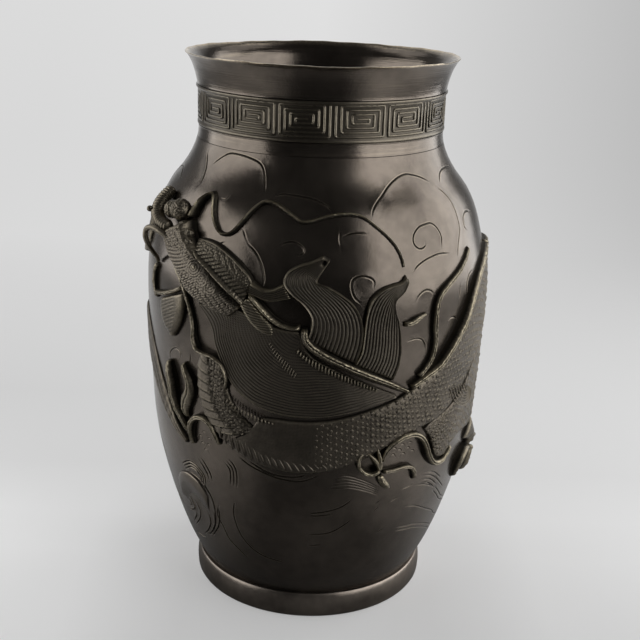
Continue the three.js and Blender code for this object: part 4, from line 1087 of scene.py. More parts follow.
# Scales on a sheet: the sheet's own points carry them, so they follow the body's form. Each is
# a thin tilted plate with the raised rim that a crescent punch leaves round its free end.
scaling, given = form_plan("scales", {
    "Along": "Int", "Across": "Int", "Rows": "Int", "Columns": "Int", "Edge": "Float", "Length": "Float",
    "Width": "Float", "Height": "Float", "Tip": "Float", "Bare Until": "Float", "Seed": "Int"
})
body = given.part("Geometry")
along, across = given.part("Along"), given.part("Across")
scale_rows, scale_columns = given.part("Rows"), given.part("Columns")
index = scaling.add("GeometryNodeInputIndex", {}, {})
count = scale_rows * scale_columns
seats = scaling.add("GeometryNodePoints", {}, {"Count": count})
row_number = (index / scale_columns).whole()
column_number = index % scale_columns
stagger = (row_number % 2) * 0.5
edge = given.part("Edge")
share_across = edge + (column_number + 0.25 + stagger) / scale_columns * (1 - edge * 2)
share_along = (row_number + 1.0) / (scale_rows + 1.0)
near_row = (share_along * (along - 3) + 1.5).whole()
near_column = (share_across * (across - 3) + 1.5).whole()
near = near_row * across + near_column
position = scaling.add("GeometryNodeInputPosition", {}, {})
normal = scaling.add("GeometryNodeInputNormal", {}, {})


def sampled(value, at):
    """A value of the body, read at the number of one of its points."""
    return scaling.add("GeometryNodeSampleIndex", {"data_type": "FLOAT_VECTOR"}, {
        "Geometry": body, "Value": value, "Index": at
    })


here = sampled(position, near)
outwards = sampled(normal, near)
onward = scaling.add("ShaderNodeVectorMath", {"operation": "SUBTRACT"}, {
    0: sampled(position, near + across), 1: sampled(position, near - across)
})
seats = scaling.add("GeometryNodeSetPosition", {}, {"Geometry": seats, "Position": here})
ball = scaling.add("GeometryNodeMeshUVSphere", {}, {"Segments": 8, "Rings": 3, "Radius": 0.5})
ball = scaling.marked(ball, "wear", 0.05)
rim = scaling.add("GeometryNodeCurveArc", {"mode": "RADIUS"}, {
    "Resolution": 6, "Radius": 0.5, "Start Angle": -1.35, "Sweep Angle": 2.7
})
wire = scaling.add("GeometryNodeCurvePrimitiveCircle", {"mode": "RADIUS"}, {"Resolution": 4, "Radius": 0.055})
rim = scaling.add("GeometryNodeCurveToMesh", {}, {"Curve": rim, "Profile Curve": wire, "Fill Caps": True})
rim = scaling.marked(rim, "wear", 0.7)
size = scaling.add("ShaderNodeCombineXYZ", {}, {
    "X": given.part("Length"), "Y": given.part("Width"), "Z": given.part("Height") * 2.0
})
tipped = scaling.add("ShaderNodeCombineXYZ", {}, {"X": 0.0, "Y": given.part("Tip"), "Z": 0.0})
rim_size = scaling.add("ShaderNodeCombineXYZ", {}, {
    "X": given.part("Length"), "Y": given.part("Width"), "Z": given.part("Width")
})
ball = scaling.add("GeometryNodeTransform", {}, {"Geometry": ball, "Rotation": tipped, "Scale": size})
rim = scaling.add("GeometryNodeTransform", {}, {"Geometry": rim, "Rotation": tipped, "Scale": rim_size})
scale = scaling.add("GeometryNodeJoinGeometry", {}, {"Geometry": [ball, rim]})
facing = scaling.add("FunctionNodeAxesToRotation", {"primary_axis": "Z", "secondary_axis": "X"}, {
    "Primary Axis": outwards, "Secondary Axis": onward
})
uneven = scaling.add("FunctionNodeRandomValue", {"data_type": "FLOAT"}, {
    "Min": 0.62, "Max": 1.1, "Seed": given.part("Seed")
})
bare = given.part("Bare Until")
grown = scaling.add("ShaderNodeMath", {"operation": "GREATER_THAN"}, {0: share_along, 1: bare})
uneven = uneven * (0.55 + 0.45 * ((share_along - bare) / 0.18).held(0.0, 1.0))
scales = scaling.add("GeometryNodeInstanceOnPoints", {}, {
    "Points": seats, "Selection": grown, "Instance": scale, "Rotation": facing, "Scale": uneven
})
scales = scaling.add("GeometryNodeRealizeInstances", {}, {"Geometry": scales})
shape = scaling.add("GeometryNodeJoinGeometry", {}, {"Geometry": [body, scales]})
close_form(scaling, shape, given)

scale_pitch = 3.1
scale_size = (3.0, 2.6, 0.13)
scale_tip = -0.18
body_step = 0.9
body_edge_reach = 5.0
relief_finish = bronze("relief_bronze_patina", (0.099, 0.085, 0.068, 1), (0.27, 0.235, 0.17, 1),
                       (0.016, 0.014, 0.011, 1), 0.42, relief_pits=1.0)
worn_finish = bronze("worn_relief_bronze", (0.112, 0.097, 0.075, 1), (0.31, 0.27, 0.19, 1),
                     (0.017, 0.015, 0.011, 1), 0.41, relief_pits=1.0)


def scaled_body(name, left, right, heights, seed, edge=0.05, bare=0.0, least=0.2, met_from=1):
    """A stretch of the body between two rails; its lower edge stays high where the haunch meets it."""
    left, right = np.array(unrolled(left)), np.array(unrolled(right))
    width = np.linalg.norm(left - right, axis=1).mean()
    field = Field(left, right, body_step, int(width / body_step))
    met = np.clip((field.share[:, None] - met_from) / 0.04, 0, 1) * (field.t < 0.5)
    least = least + (0.75 - least) * met
    lift = raised(field, heights, body_edge_reach, 0, 0, least) + scribbled(field, 1.5, 0.07)
    piece = laid_sheet(name, field, lift, relief_finish)
    along, across = field.x.shape[0] + 2, field.x.shape[1] + 2
    return shape_with(piece, scaling, {
        "Along": along, "Across": across, "Rows": int(field.length / (scale_pitch * 0.86)),
        "Columns": max(int(width * (1 - 2 * edge) / scale_pitch), 2), "Edge": edge,
        "Length": scale_size[0] * MM, "Width": scale_size[1] * MM, "Height": scale_size[2] * MM,
        "Tip": scale_tip, "Bare Until": bare, "Seed": seed, "Finish": relief_finish
    })


trunk_front = scaled_body("trunk_front_scaled", [
    (-28.4, 111.6), (-21.6, 105), (-14.4, 101.4), (-7.2, 99.6), (0, 99.8), (7, 101.8), (13.4, 105),
    (20, 109.4), (27, 114.4), (34.2, 118.4), (41.4, 121.4), (48.4, 126), (55, 132.2), (61.2, 139.2),
    (67.4, 146.2), (74.2, 152.6), (82, 158)
], [
    (-17.6, 122), (-16.6, 128.6), (-11.4, 129.6), (-5.8, 129.2), (0.4, 129.4), (6.6, 130.4), (12.8, 132.6),
    (19, 135.2), (25, 138), (30.4, 141.6), (35.4, 146.2), (41.4, 151), (46.6, 158.4), (51.6, 167), (58, 181),
    (66, 191.4), (80, 199)
], [2.3, 2.0, 2.3, 2.8, 3.0, 1.4, 1.4], 3, edge=0.03, bare=0.2, met_from=0.6)
settle(trunk_front, "relief_bronze", "trunk_front")

# Dragon's neck: a low casting without scales, soldered on between the beard and the trunk. Its
# left side has overlapping plates like leaves, and the rest is gritty from the chisel.
plate_pitch = 4.9
throat = sheet_field([
    (-36.6, 158.6), (-38.2, 153), (-38.6, 146), (-38.6, 138.6), (-37.8, 131.4), (-36.2, 124.6),
    (-33.4, 118.4), (-28.8, 112)
], [
    (-31.4, 158), (-28.8, 155.4), (-27.6, 150.2), (-27.2, 144.4), (-26.6, 138.4), (-25, 132.8),
    (-22, 127.6), (-17.8, 122.4)
], 0.45, 46)
plate_phase = (throat.s - 0.55 * throat.t * throat.w - 1.2) / plate_pitch
plate_rise = (plate_phase % 1) ** 0.8 * window(throat.t, -1, 0.50, 0.03)
grit = scribbled(throat, 1.25, 0.26) + 0.3 * hatched(throat, 60, 2.2, 2.6, 0.6)
throat_lift = raised(throat, [2.4, 3.2, 3.2, 2.9, 2.3], 4.0, 0, 0)
throat_lift = throat_lift - 0.55 + 1.25 * plate_rise + grit * window(throat.t, 0.46, 2, 0.04)
neck = laid_sheet("neck_plated", throat, throat_lift, relief_finish, 0.0, 0.15, 1.2, rub=0.5)
settle(neck, "relief_bronze", "neck")

# Haunch, back of the trunk and tail: three more stretches of the scaled body. Each is cast
# apart and soldered on where the one before it ends.
haunch = scaled_body("haunch_scaled", [
    (38.6, 118.4), (41.4, 113), (42.8, 107.4), (44, 102.4), (46, 98.8), (50, 98), (54, 102.8), (60, 104.8),
    (67, 104.4), (75, 102)
], [
    (40.4, 120.4), (44.6, 122.8), (48.6, 125.6), (52.6, 129.2), (56.4, 133.4), (60, 137.4), (63.8, 141.6),
    (68, 146.2), (73, 150.8), (79, 155.2)
], [1.9, 2.9, 2.9, 1.5, 1.4], 7, edge=0.03, least=0.7)
settle(haunch, "relief_bronze", "haunch")

trunk_back = scaled_body("trunk_back_scaled", [
    (82.6, 158.4), (92, 161.4), (101, 160), (110, 154.8), (118.4, 147), (126.4, 138), (134.4, 129.4),
    (143, 122.8), (152.4, 118.8), (162.4, 117.6), (172.4, 119.6), (182, 124.2), (191, 130.4)
], [
    (80.7, 198.9), (94, 198), (105, 193.6), (115, 186.4), (124.4, 177.4), (133, 168.4), (141, 160.4),
    (148.6, 154.6), (156, 151.2), (163.4, 150.4), (170.6, 152.2), (178, 156.2), (185, 161.6)
], [1.4, 2.4, 3.0, 3.0], 11)
settle(trunk_back, "relief_bronze", "trunk_back")

tail = scaled_body("tail_scaled", [
    (192.2, 131.4), (200.4, 138.4), (209, 147), (217.4, 156.6), (225.4, 166.6), (233, 176.6), (240.6, 185.6),
    (249, 192.4), (258, 196)
], [
    (186.2, 162.6), (193, 169.4), (200, 177), (207.6, 184.8), (216, 192), (225.4, 197.8), (235.4, 201.2),
    (246, 201.6), (256.4, 199.6)
], [3.0, 3.0, 2.7, 2.3], 13)
settle(tail, "relief_bronze", "tail")

# Legs: the left foreleg and the two hind shanks. They are plain rounded castings, soldered on,
# creased at their joints, and they narrow to a heel.
def strand_field(line, widths, step, columns):
    """The places of a strand that is drawn as one line with a width."""
    left, right = rails_of_line(line, widths)
    return Field(left, right, step, columns)


def leg(name, node, line, widths, heights, creases, sinews=0.0):
    """A rounded casting, creased across at its joints, with sinews along it."""
    field = strand_field(line, widths, 0.8, 32)
    lift = raised(field, heights, 6.0, 1.5, 1.0)
    along = field.s / field.length
    for place_along, depth in creases:
        lift = lift - depth * np.exp(-((along - place_along - 0.04 * field.t) / 0.018) ** 2)
    lift = lift + sinews * ridges(3.4 * field.t + 0.2 * np.sin(field.s / 5)) * np.clip(along * 2, 0, 1)
    piece = laid_sheet(name, field, lift + scribbled(field, 1.3, 0.11), relief_finish)
    settle(piece, "relief_bronze", node)


leg("left_foreleg_cast", "left_foreleg", [
    (-84, 158), (-76, 148), (-69, 137), (-62.6, 126), (-57, 117), (-51.4, 109.6), (-45.4, 103.4)
], [20, 19, 17, 13.6, 9.6, 6, 2.6], [1.2, 1.2, 1.2, 1.5, 2.1, 2.5, 2.1],
    [(0.66, 0.3), (0.72, 0.3), (0.78, 0.3)], 0.5)
leg("hind_shank_cast", "hind_shank", [(71, 101.6), (73.6, 98), (75.4, 94), (75.8, 89.6)], [15, 11, 8, 6.4],
    [2.3, 4.3, 5.5, 5.5], [(0.4, 0.5), (0.65, 0.5)])
leg("back_shank_cast", "back_shank", [(140, 120.8), (135.4, 113), (131.4, 104.4), (129.6, 95.4)],
    [26, 18, 12, 7], [3.6, 4, 4.4, 4], [(0.55, 0.6), (0.72, 0.6)])


# Claws: long toes that grip the clouds, each a ridged strand with a sharp tip, and the talons
# of the fore claw and the back claw that meet at a heel. All are cast and soldered on.
def toe(name, node, line, widths, heights, groove=0.0, wear=0.0, slot="worn_bronze", strip=False,
        chased=0.24):
    """A rounded strand; a groove along its middle makes it a double ridge, and a strip is a wedge that is
    painted paler along its top and darker down its side, a painted highlight and painted shade.
    """
    field = strand_field(line, widths, 0.6, 18)
    rise = spread(heights, field.share)[:, None]
    aside = 2 * field.t - 1
    across = np.sqrt(np.clip(1 - 0.8 * aside ** 2, 0, 1))
    if strip:
        across = np.interp(field.t, [0, 0.14, 0.34, 1], [0.6, 1.0, 0.78, 0.3])
    ends = 0.35 + 0.65 * np.sqrt(1 - (1 - np.clip(field.from_end() / 1.6, 0, 1)) ** 2)
    lift = rise * across * ends
    grime = 0
    if groove:
        lift = lift - groove * np.exp(-((field.t - 0.5) * field.w / 0.42) ** 2) * np.clip(field.w / 2, 0, 1)
        wear = wear + 0.3 * np.exp(-((np.abs(field.t - 0.5) * field.w - 0.8) / 0.45) ** 2)
    # The strip's upper edge gets a painted highlight and its lower side painted shade.
    if strip:
        wear = wear + 0.75 * np.exp(-((field.t - 0.2) / 0.2) ** 2)
        grime = 0.8 * np.clip((field.t - 0.45) / 0.3, 0, 1)
    finish = relief_finish if slot == "relief_bronze" else worn_finish
    lift = lift + scribbled(field, 1.1, chased)
    settle(laid_sheet(name, field, lift, finish, wear, grime, 0.9, 2, 0.4), slot, node)


claw_height = 5.0
toe("left_toe_outer_ridge", "left_toe_outer", [
    (-53.2, 146.4), (-52.2, 140.4), (-51.2, 134), (-50.6, 128), (-48.8, 121), (-46, 114.6), (-44.6, 110)
], [3, 5.4, 6, 5.6, 4.6, 3.6, 1.8], [3, claw_height, claw_height, claw_height, 4.4, 3.4, 2.4], 0.5)
toe("left_toe_inner_ridge", "left_toe_inner", [
    (-45.4, 148.2), (-43.2, 144.2), (-41.7, 139.4), (-42, 134), (-43.8, 129), (-44.8, 123.6), (-43.9, 118.6)
], [2.6, 4, 5, 6.4, 8, 6.4, 2], [3, claw_height, claw_height, claw_height, 4.4, 4, 2.6], 0.7)
toe("heel_curl_ridge", "heel_curl", [
    (-42.3, 104), (-42.7, 110.4), (-42.1, 116.4), (-39.6, 120.8), (-36.3, 121.9), (-33.6, 119.4),
    (-31.9, 114.4), (-30.9, 108.8)
], [2, 3, 3, 3, 2.8, 1.8], [2.6, 4.4, 4.4, 4.4, 4, 2.6], 0.6)
for side, line, widths, heights in (
    ("front", [(73, 88.2), (69.4, 88), (66.4, 84.4), (65.4, 79), (66.6, 73.4)],
     [3.6, 4.4, 4, 3, 1.4], [claw_height, claw_height, claw_height, 4, 2.4]),
    ("middle", [(76, 88), (75.2, 82.4), (75.4, 76.4), (77, 70.4)],
     [4, 4.6, 3.6, 1.4], [6.5, 6.5, 6.5, 4.4]),
    ("back", [(79, 90.4), (82.8, 89), (85.8, 84.6), (86.6, 78.6), (85, 72.6)],
     [3.6, 4.2, 3.6, 2.8, 1.4], [claw_height, 6.5, 6.5, claw_height, 3]),
):
    toe(f"hind_toe_{side}_ridge", f"hind_toe_{side}", line, widths, heights)

talon_sets = {
    "fore_claw": ((22.3, 100.4), [
        [(19.4, 98.9), (16.8, 100.6), (15.2, 104), (15.3, 108.2), (16.4, 111.4)],
        [(20.9, 105.4), (19.2, 108.8), (17.6, 111.2)],
        [(22, 104.8), (21.6, 109.4), (20.8, 113.6)]
    ]),
    "back_claw": ((129.2, 93.4), [
        [(124.6, 93.8), (120.4, 90.8), (118.6, 85.4), (119.6, 80.4)],
        [(128.4, 87.6), (128.6, 82), (130, 77)],
        [(133.6, 92), (137.2, 88.2), (138.4, 83.2), (137.6, 78.6)]
    ]),
}
for node, (heel, tips) in talon_sets.items():
    for number, tip in enumerate(tips, 1):
        toe(f"{node}_talon_{number}", node, [heel, *tip], [3, 2.6, 1.2],
            [claw_height - 0.1 * number, claw_height - 0.2, 3], 0.4)
toe("hanging_toe_ridge", "hanging_toe", [(22.9, 97.2), (23.7, 93.6), (25.3, 90.4), (27.2, 87.7)],
    [2.2, 4.4, 4.2, 1.2], [3, 4, 4, 2], 0.0, 0.3, chased=0.3)
toe("heel_spur_ridge", "heel_spur", [
    (23.8, 98.6), (27.7, 98.4), (31.9, 98.9), (34.8, 97.4), (36.4, 93.6), (36.9, 89.4)
], [2.2, 2.4, 2.4, 2.8, 1.6], [3.6, 3, 3, 3.4, 2.4], 0.4, 0.1, "relief_bronze")

# Ribbons: flame-like strands that stream from the shoulder and the legs, and the spine's
# ridge along the trunk. They are soldered on, and a channel is chased down the middle of most,
# so their two edges shine.
ribbon_height = 3.2
spine_height = 5.0
toe("wave_ribbon_double", "wave_ribbon", [
    (22.9, 104.6), (23.8, 109.4), (26.2, 114.3), (29.9, 117.2), (33.6, 117.5), (36.4, 115.4),
    (38.5, 111.6), (39.9, 107.3), (41.1, 103), (42.7, 99.2), (44.7, 96.2), (47.1, 94.8), (49.5, 95.2),
    (51.6, 97.6), (54, 101.2)
], [2, 3.4, 3.4, 3.4, 3.4, 2.4], [3.4, 4.5, 4.5, 4.5, 3.4], 0.8)
toe("shoulder_ribbon_double", "shoulder_ribbon", [
    (59.7, 208.4), (56.2, 204), (52, 200), (47.5, 196.4), (43.8, 193.4), (41, 189.8), (39.8, 185.4),
    (39.3, 179.4), (39.3, 173.5), (39.7, 167.6), (39.4, 161.6), (38.4, 156.8), (36.4, 152.6), (34, 149.2)
], [1.6, 3, 3, 3], [2, ribbon_height, ribbon_height, ribbon_height], 0.7)
toe("spine_ridge_double", "spine_ridge", [
    (31.2, 144.4), (36.2, 148.4), (42, 152.9), (46.4, 159.6), (50.6, 167), (54.6, 175.2), (58.4, 183.4),
    (62.4, 190), (67.4, 195.6), (73.6, 199.8), (81, 202.2)
], [3, 4, 4, 4], [4, spine_height, spine_height, 3.1, 3.1], 0.9)
toe("back_spine_double", "back_spine", [
    (82.4, 202.4), (93, 201.6), (104, 197.8), (114.6, 190.4), (124.4, 181.2), (133.4, 172), (141.6, 164),
    (149.4, 158), (156.6, 154.6), (163.6, 153.8), (170.8, 155.6)
], [4, 4, 4, 3], [3.1, spine_height, spine_height, 4.4], 0.9)
toe("back_ribbon_right_double", "back_ribbon_right", [
    (128.6, 180.4), (132.4, 185), (138.4, 189), (145.4, 193), (150, 199), (150.6, 207.4), (154.4, 214.6)
], [3, 3, 3, 1.4], [ribbon_height, ribbon_height, ribbon_height, 1.8], 0.7)
toe("back_ribbon_left_double", "back_ribbon_left", [
    (176.4, 159), (173.8, 166.4), (175, 174.6), (179.6, 182), (184.4, 189.6), (184.6, 198.4), (180.4, 206)
], [3, 3, 3, 1.4], [ribbon_height, 4.4, 4.8, 1.8], 0.7)
toe("small_flame_ridge", "small_flame", [(27.6, 178.4), (30.2, 178.8), (32.8, 180.6), (35.8, 182.3)],
    [2.4, 3.4, 1], [2.4, 3, 2], 0.3)

# Wave crest and tail flame: flat leaves of metal, soldered on. The wave is plain and dies into
# the belly at its inner edge; the flame is combed with a few flowing lines.
wave = sheet_field([(-60, 62), (-58.4, 72), (-54, 79.6), (-48.4, 82), (-42.8, 79.4), (-39.6, 72)],
                   [(-55, 60.6), (-52, 66), (-49, 68.6), (-46, 67.4), (-43.8, 63.6), (-41.2, 60.4)], 1.0, 30)
wave_lift = raised(wave, [1.0, 1.5, 1.5, 1.0], 5.0, 3, 3, 0.1) * np.clip((1 - wave.t) / 0.6, 0, 1)
settle(laid_sheet("wave_crest_rolled", wave, wave_lift, belly_finish), "vessel_bronze", "wave_crest")
flame = sheet_field([(258.6, 195), (264, 190.4), (270.6, 189.4), (277.6, 193.4), (284, 201.4)],
                    [(257.4, 201), (262, 208.4), (268.4, 213.4), (276, 213), (283.6, 205)], 0.9, 84)
flame_lift = raised(flame, [2.2, 2.8, 2.6, 1.7], 1.6) + combed(flame, 12, 0.3)
settle(laid_sheet("tail_flame_combed", flame, flame_lift, worn_finish, 0.1), "worn_bronze", "tail_flame")

# Mane: a broad beard that sweeps down from the cheek, and two wave-shaped locks behind the
# head. Each is a low casting combed along its length with fine lines, inside a raised edge.
mane_height = 2.8


def spot_gap(field, degrees, height):
    """Distance on the unrolled belly from a named place."""
    return np.hypot(field.x - degrees * mm_per_degree, field.y - height)


def lock(name, node, left, right, heights, lines, depth=0.42, step=1.0, edge=0.55, finish=relief_finish,
         wear=0.0, slot="relief_bronze", start=1.2, eye_of_curl=None):
    """A casting of combed hair inside a raised edge; its curl may have a punched eye."""
    field = sheet_field(left, right, step, lines * 6)
    lift = raised(field, heights, 0.9, start, 1.2, 0.3) - 0.35
    lift = lift + combed(field, lines, depth) + rolled_edge(field, 0.8, edge)
    wear = wear + 0.6 * np.exp(-(field.from_edge() / 0.7) ** 2)
    grime = 0.32
    if eye_of_curl:
        hole = np.exp(-(spot_gap(field, *eye_of_curl) / 0.95) ** 4)
        lift, wear, grime = lift - 1.9 * hole, wear * (1 - hole), grime + hole
    lift = lift + scribbled(field, 1.3, 0.05)
    settle(laid_sheet(name, field, lift, finish, wear, grime, 1.0), slot, node)


fan_pitch = 1.55
fan = sheet_field([
    (-38, 184), (-34.6, 178.4), (-32.2, 171.6), (-31.4, 164.4), (-29.8, 157), (-27.6, 150), (-24.6, 143),
    (-20, 137.4), (-14, 133.4), (-6.6, 131.4), (1, 131.4), (8.6, 133), (15.8, 135.4), (22, 138), (27, 139.6)
], [
    (-30, 184.6), (-25.4, 185), (-22.4, 184.6), (-19, 182), (-15.4, 180.6), (-11.4, 178.4), (-8, 177.4),
    (-4.4, 176.4), (-2.6, 169), (-0.4, 164.4), (4.2, 159.6), (9, 155.4), (14.6, 150.8), (20.4, 146.2),
    (26.2, 141.8)
], 1.0, 230)
fan_phase = fan.t * fan.w / fan_pitch + 0.22 * np.sin(fan.s / 6 + 9 * fan.t) + 0.1 * np.sin(fan.s / 2.3)
fan_lift = raised(fan, [3.2, mane_height, mane_height, mane_height, mane_height, 2.2], 0.9, 1.2, 1.2, 0.3)
fan_lift = fan_lift - 0.5 + 0.6 * ridges(fan_phase) * (1 - 0.35 * np.sin(fan.s / 9 + 3 * fan.t) ** 2)
mane_fan = laid_sheet("mane_fan_combed", fan, fan_lift, relief_finish, 0.0, 0.28, 1.0)
settle(mane_fan, "relief_bronze", "mane_fan")
lock("mane_lock_lower_combed", "mane_lock_lower", [
    (11.6, 159.6), (13.6, 166), (14.2, 174), (14.6, 182), (15.5, 189), (17.4, 194.6), (20.4, 197.9),
    (23.8, 199.3), (26.6, 200.2), (28.2, 202.8)
], [
    (24.6, 149.4), (26.4, 157), (26.9, 164), (26.6, 170), (26.2, 175), (25.4, 180), (24.2, 185), (24, 190.6),
    (27, 194.6), (29.3, 200)
], [mane_height, mane_height, mane_height, 3.4, 3.4, 2.4], 13)
lock("mane_lock_upper_combed", "mane_lock_upper", [
    (-2.6, 172.6), (-1.4, 178.8), (-1.4, 184.6), (-3.8, 190.6), (-7.6, 195.6), (-9.8, 200.6), (-8.6, 205.6),
    (-5.4, 208.9), (-1.4, 211), (2, 213.6)
], [
    (12.4, 159.6), (14, 168.6), (14.4, 177), (13.4, 184.8), (11, 191), (7.4, 195.6), (3.6, 199.2),
    (0.4, 200.9), (1.4, 205), (4.2, 211.6)
], [mane_height, mane_height, 3.2, 3.6, 3.6, 3.4], 14, eye_of_curl=(2.3, 210.4))

# Whiskers: soldered cords. The long one runs from the nose over the shoulder in two waves, the
# others hang from the jaw and the mouth, and a short bar between them carries the leaf.
whisker_height = 3.6
toe("long_whisker_cord", "long_whisker", [
    (-45.8, 223.3), (-45.3, 228.2), (-44.4, 232.6), (-42, 235.4), (-40.2, 234), (-38.4, 229), (-36.5, 224.4),
    (-33.8, 220), (-31, 218.8), (-28, 221), (-25.4, 226), (-22.8, 231.4), (-20, 235), (-17, 235.6),
    (-13.6, 234.2), (-9.6, 231.2), (-5.6, 228.2), (-2, 228.6), (2.4, 230.4), (7, 231.6), (11.6, 231.6),
    (15.4, 230.2), (19, 226.4), (22.4, 222), (25.4, 216.8), (27.2, 211.4), (27.9, 206.4)
], [2.6, 1.8, 1.8, 1.8, 1.6, 1.3], [6, whisker_height, whisker_height, whisker_height, 2.4, 1.6, 1.2],
    strip=True)
toe("jaw_whisker_cord", "jaw_whisker", [
    (-55.2, 208.8), (-51.4, 202.8), (-48, 197), (-45.2, 191.2), (-43.2, 185.4), (-41.8, 180), (-40.8, 175),
    (-40, 170), (-39.8, 164.8), (-38.4, 160.2), (-35.4, 158.4), (-31.8, 157.8), (-29, 155.2),
    (-27.5, 150.8), (-27.1, 146.4), (-27.7, 141)
], [2, 2.2, 2.2, 2.2, 2, 1.8, 1.6, 1.2], [4, 3.6, 3, 2.6, 3.4, 4.9, 4.9, 4.5, 3.9], 0.2, 0.1, "relief_bronze")
toe("hanging_whisker_cord", "hanging_whisker", [
    (-62, 194.6), (-63.4, 190), (-63.6, 185), (-63, 180.4), (-61.6, 176.6)
], [2.6, 2.4, 1.8], [2.6, 2.6, 2], 0.3, 0.1, "relief_bronze")
toe("leaf_bar_cord", "leaf_bar", [
    (-61.6, 179.6), (-57.9, 180.9), (-53.2, 182.9), (-48.4, 186), (-44.6, 189.2)
], [2.2, 2.6, 2.6, 2.2], [3.4, 4.2, 4.2, 4], 0.3)

# Hanging leaf: a small ribbed shell that hangs from the short bar and tapers to a point. It is
# a casting of its own, soldered on below the bar, with its ribs chased on a slant.
leaf_rib_pitch = 1.9
leaf = sheet_field([(-57.2, 178.6), (-57.2, 173), (-56, 167.6), (-54, 163.4), (-51.2, 160.4)],
                   [(-44.4, 186.6), (-43.8, 181), (-44.4, 174.6), (-46.4, 167.8), (-49.8, 160.8)], 0.5, 40)
leaf_ribs = ridges((leaf.y - 0.5 * (leaf.x + 82)) / leaf_rib_pitch)
leaf_lift = raised(leaf, [3.2, 3.7, 3.7, 2.8], 5.0, 1.5, 1.5, 0.2) + 0.32 * leaf_ribs * (leaf.t < 0.72)
leaf_piece = laid_sheet("hanging_leaf_ribbed", leaf, leaf_lift, relief_finish, 0.1)
settle(leaf_piece, "relief_bronze", "hanging_leaf")


# Head: skull, cheek and jaw in one casting, soldered on and chased all over: rings round the
# eye, ribs on the cheek, a scribbled muzzle, and short rows of hair that run into the beard.
skull = sheet_field([
    (-26, 180.2), (-31, 182.4), (-36.6, 186), (-41, 189.6), (-43.8, 194.4), (-46.8, 199.6), (-50, 204.6),
    (-52.6, 210), (-54, 216)
], [
    (-21.5, 187), (-24, 191), (-27, 195.5), (-30.4, 200), (-33.8, 203.8), (-37, 207.2), (-40.4, 212),
    (-43.6, 217.6), (-45.4, 222.6)
], 0.35, 44)
eye_place = (-37.8, 202.2)
eye_gap = spot_gap(skull, *eye_place)
skull_lift = raised(skull, [4.3, 5.8, 7.0, 7.2, 7.2, 7.6, 8.6, 9.4, 9.4], 2.6, 1.5, 1.5, 0.25)
eye_zone = window(eye_gap, -9, 4.7, 0.35)
first_arc = spot_gap(skull, -34.6, 197.6)
second_arc = spot_gap(skull, -31.2, 194.4)
arc_zone = (window(first_arc, 1.6, 4.8, 0.4) + window(second_arc, 1.4, 3.6, 0.4)).clip(0, 1) * (1 - eye_zone)
arc_zone = arc_zone * window(skull.t, 0.42, 2, 0.05)
muzzle_zone = window(skull.y, 208.8, 260, 0.7)
cheek_zone = window(skull.y, 199.0, 209.4, 0.6) * window(skull.t, -1, 0.56, 0.05) * (1 - eye_zone)
hair_zone = (1 - muzzle_zone) * (1 - cheek_zone) * (1 - eye_zone) * (1 - arc_zone)
oval_gap = np.hypot(eye_gap, 0.35 * (skull.y - eye_place[1]))
skull_lift = skull_lift + 0.62 * eye_zone * ridges(oval_gap / 1.35 + 0.5)
cheek_rank = (skull.y - 0.1 * skull.x - 0.02 * (skull.x + 76) ** 2) / 1.75
skull_lift = skull_lift + 0.60 * cheek_zone * ridges(cheek_rank)
skull_lift = skull_lift + 0.50 * arc_zone * ridges(np.minimum(first_arc, second_arc + 0.4) / 1.3)
muzzle = scribbled(skull, 0.85, 0.30) + 0.3 * hatched(skull, 35, 1.3, 3.1, 0.5)
skull_lift = skull_lift + muzzle_zone * muzzle
skull_lift = skull_lift + 0.5 * hair_zone * hatched(skull, 24, 1.15, 3.0, 0.35)
hollow = window(skull.t, 0.80, 1.02, 0.03) * window(skull.y, 186, 207, 1.5)
skull_lift = skull_lift - 1.3 * hollow * (1 - 0.6 * arc_zone) + scribbled(skull, 1.2, 0.13)
# The head is painted darker along its lower edge, a painted shadow under the jaw's edge, and in the hollow,
# painted shade.
head = laid_sheet("head_chased", skull, skull_lift, relief_finish, 0.0,
                  0.5 * (skull.t < 0.07) + 0.8 * hollow, 1.0)
settle(head, "relief_bronze", "head")


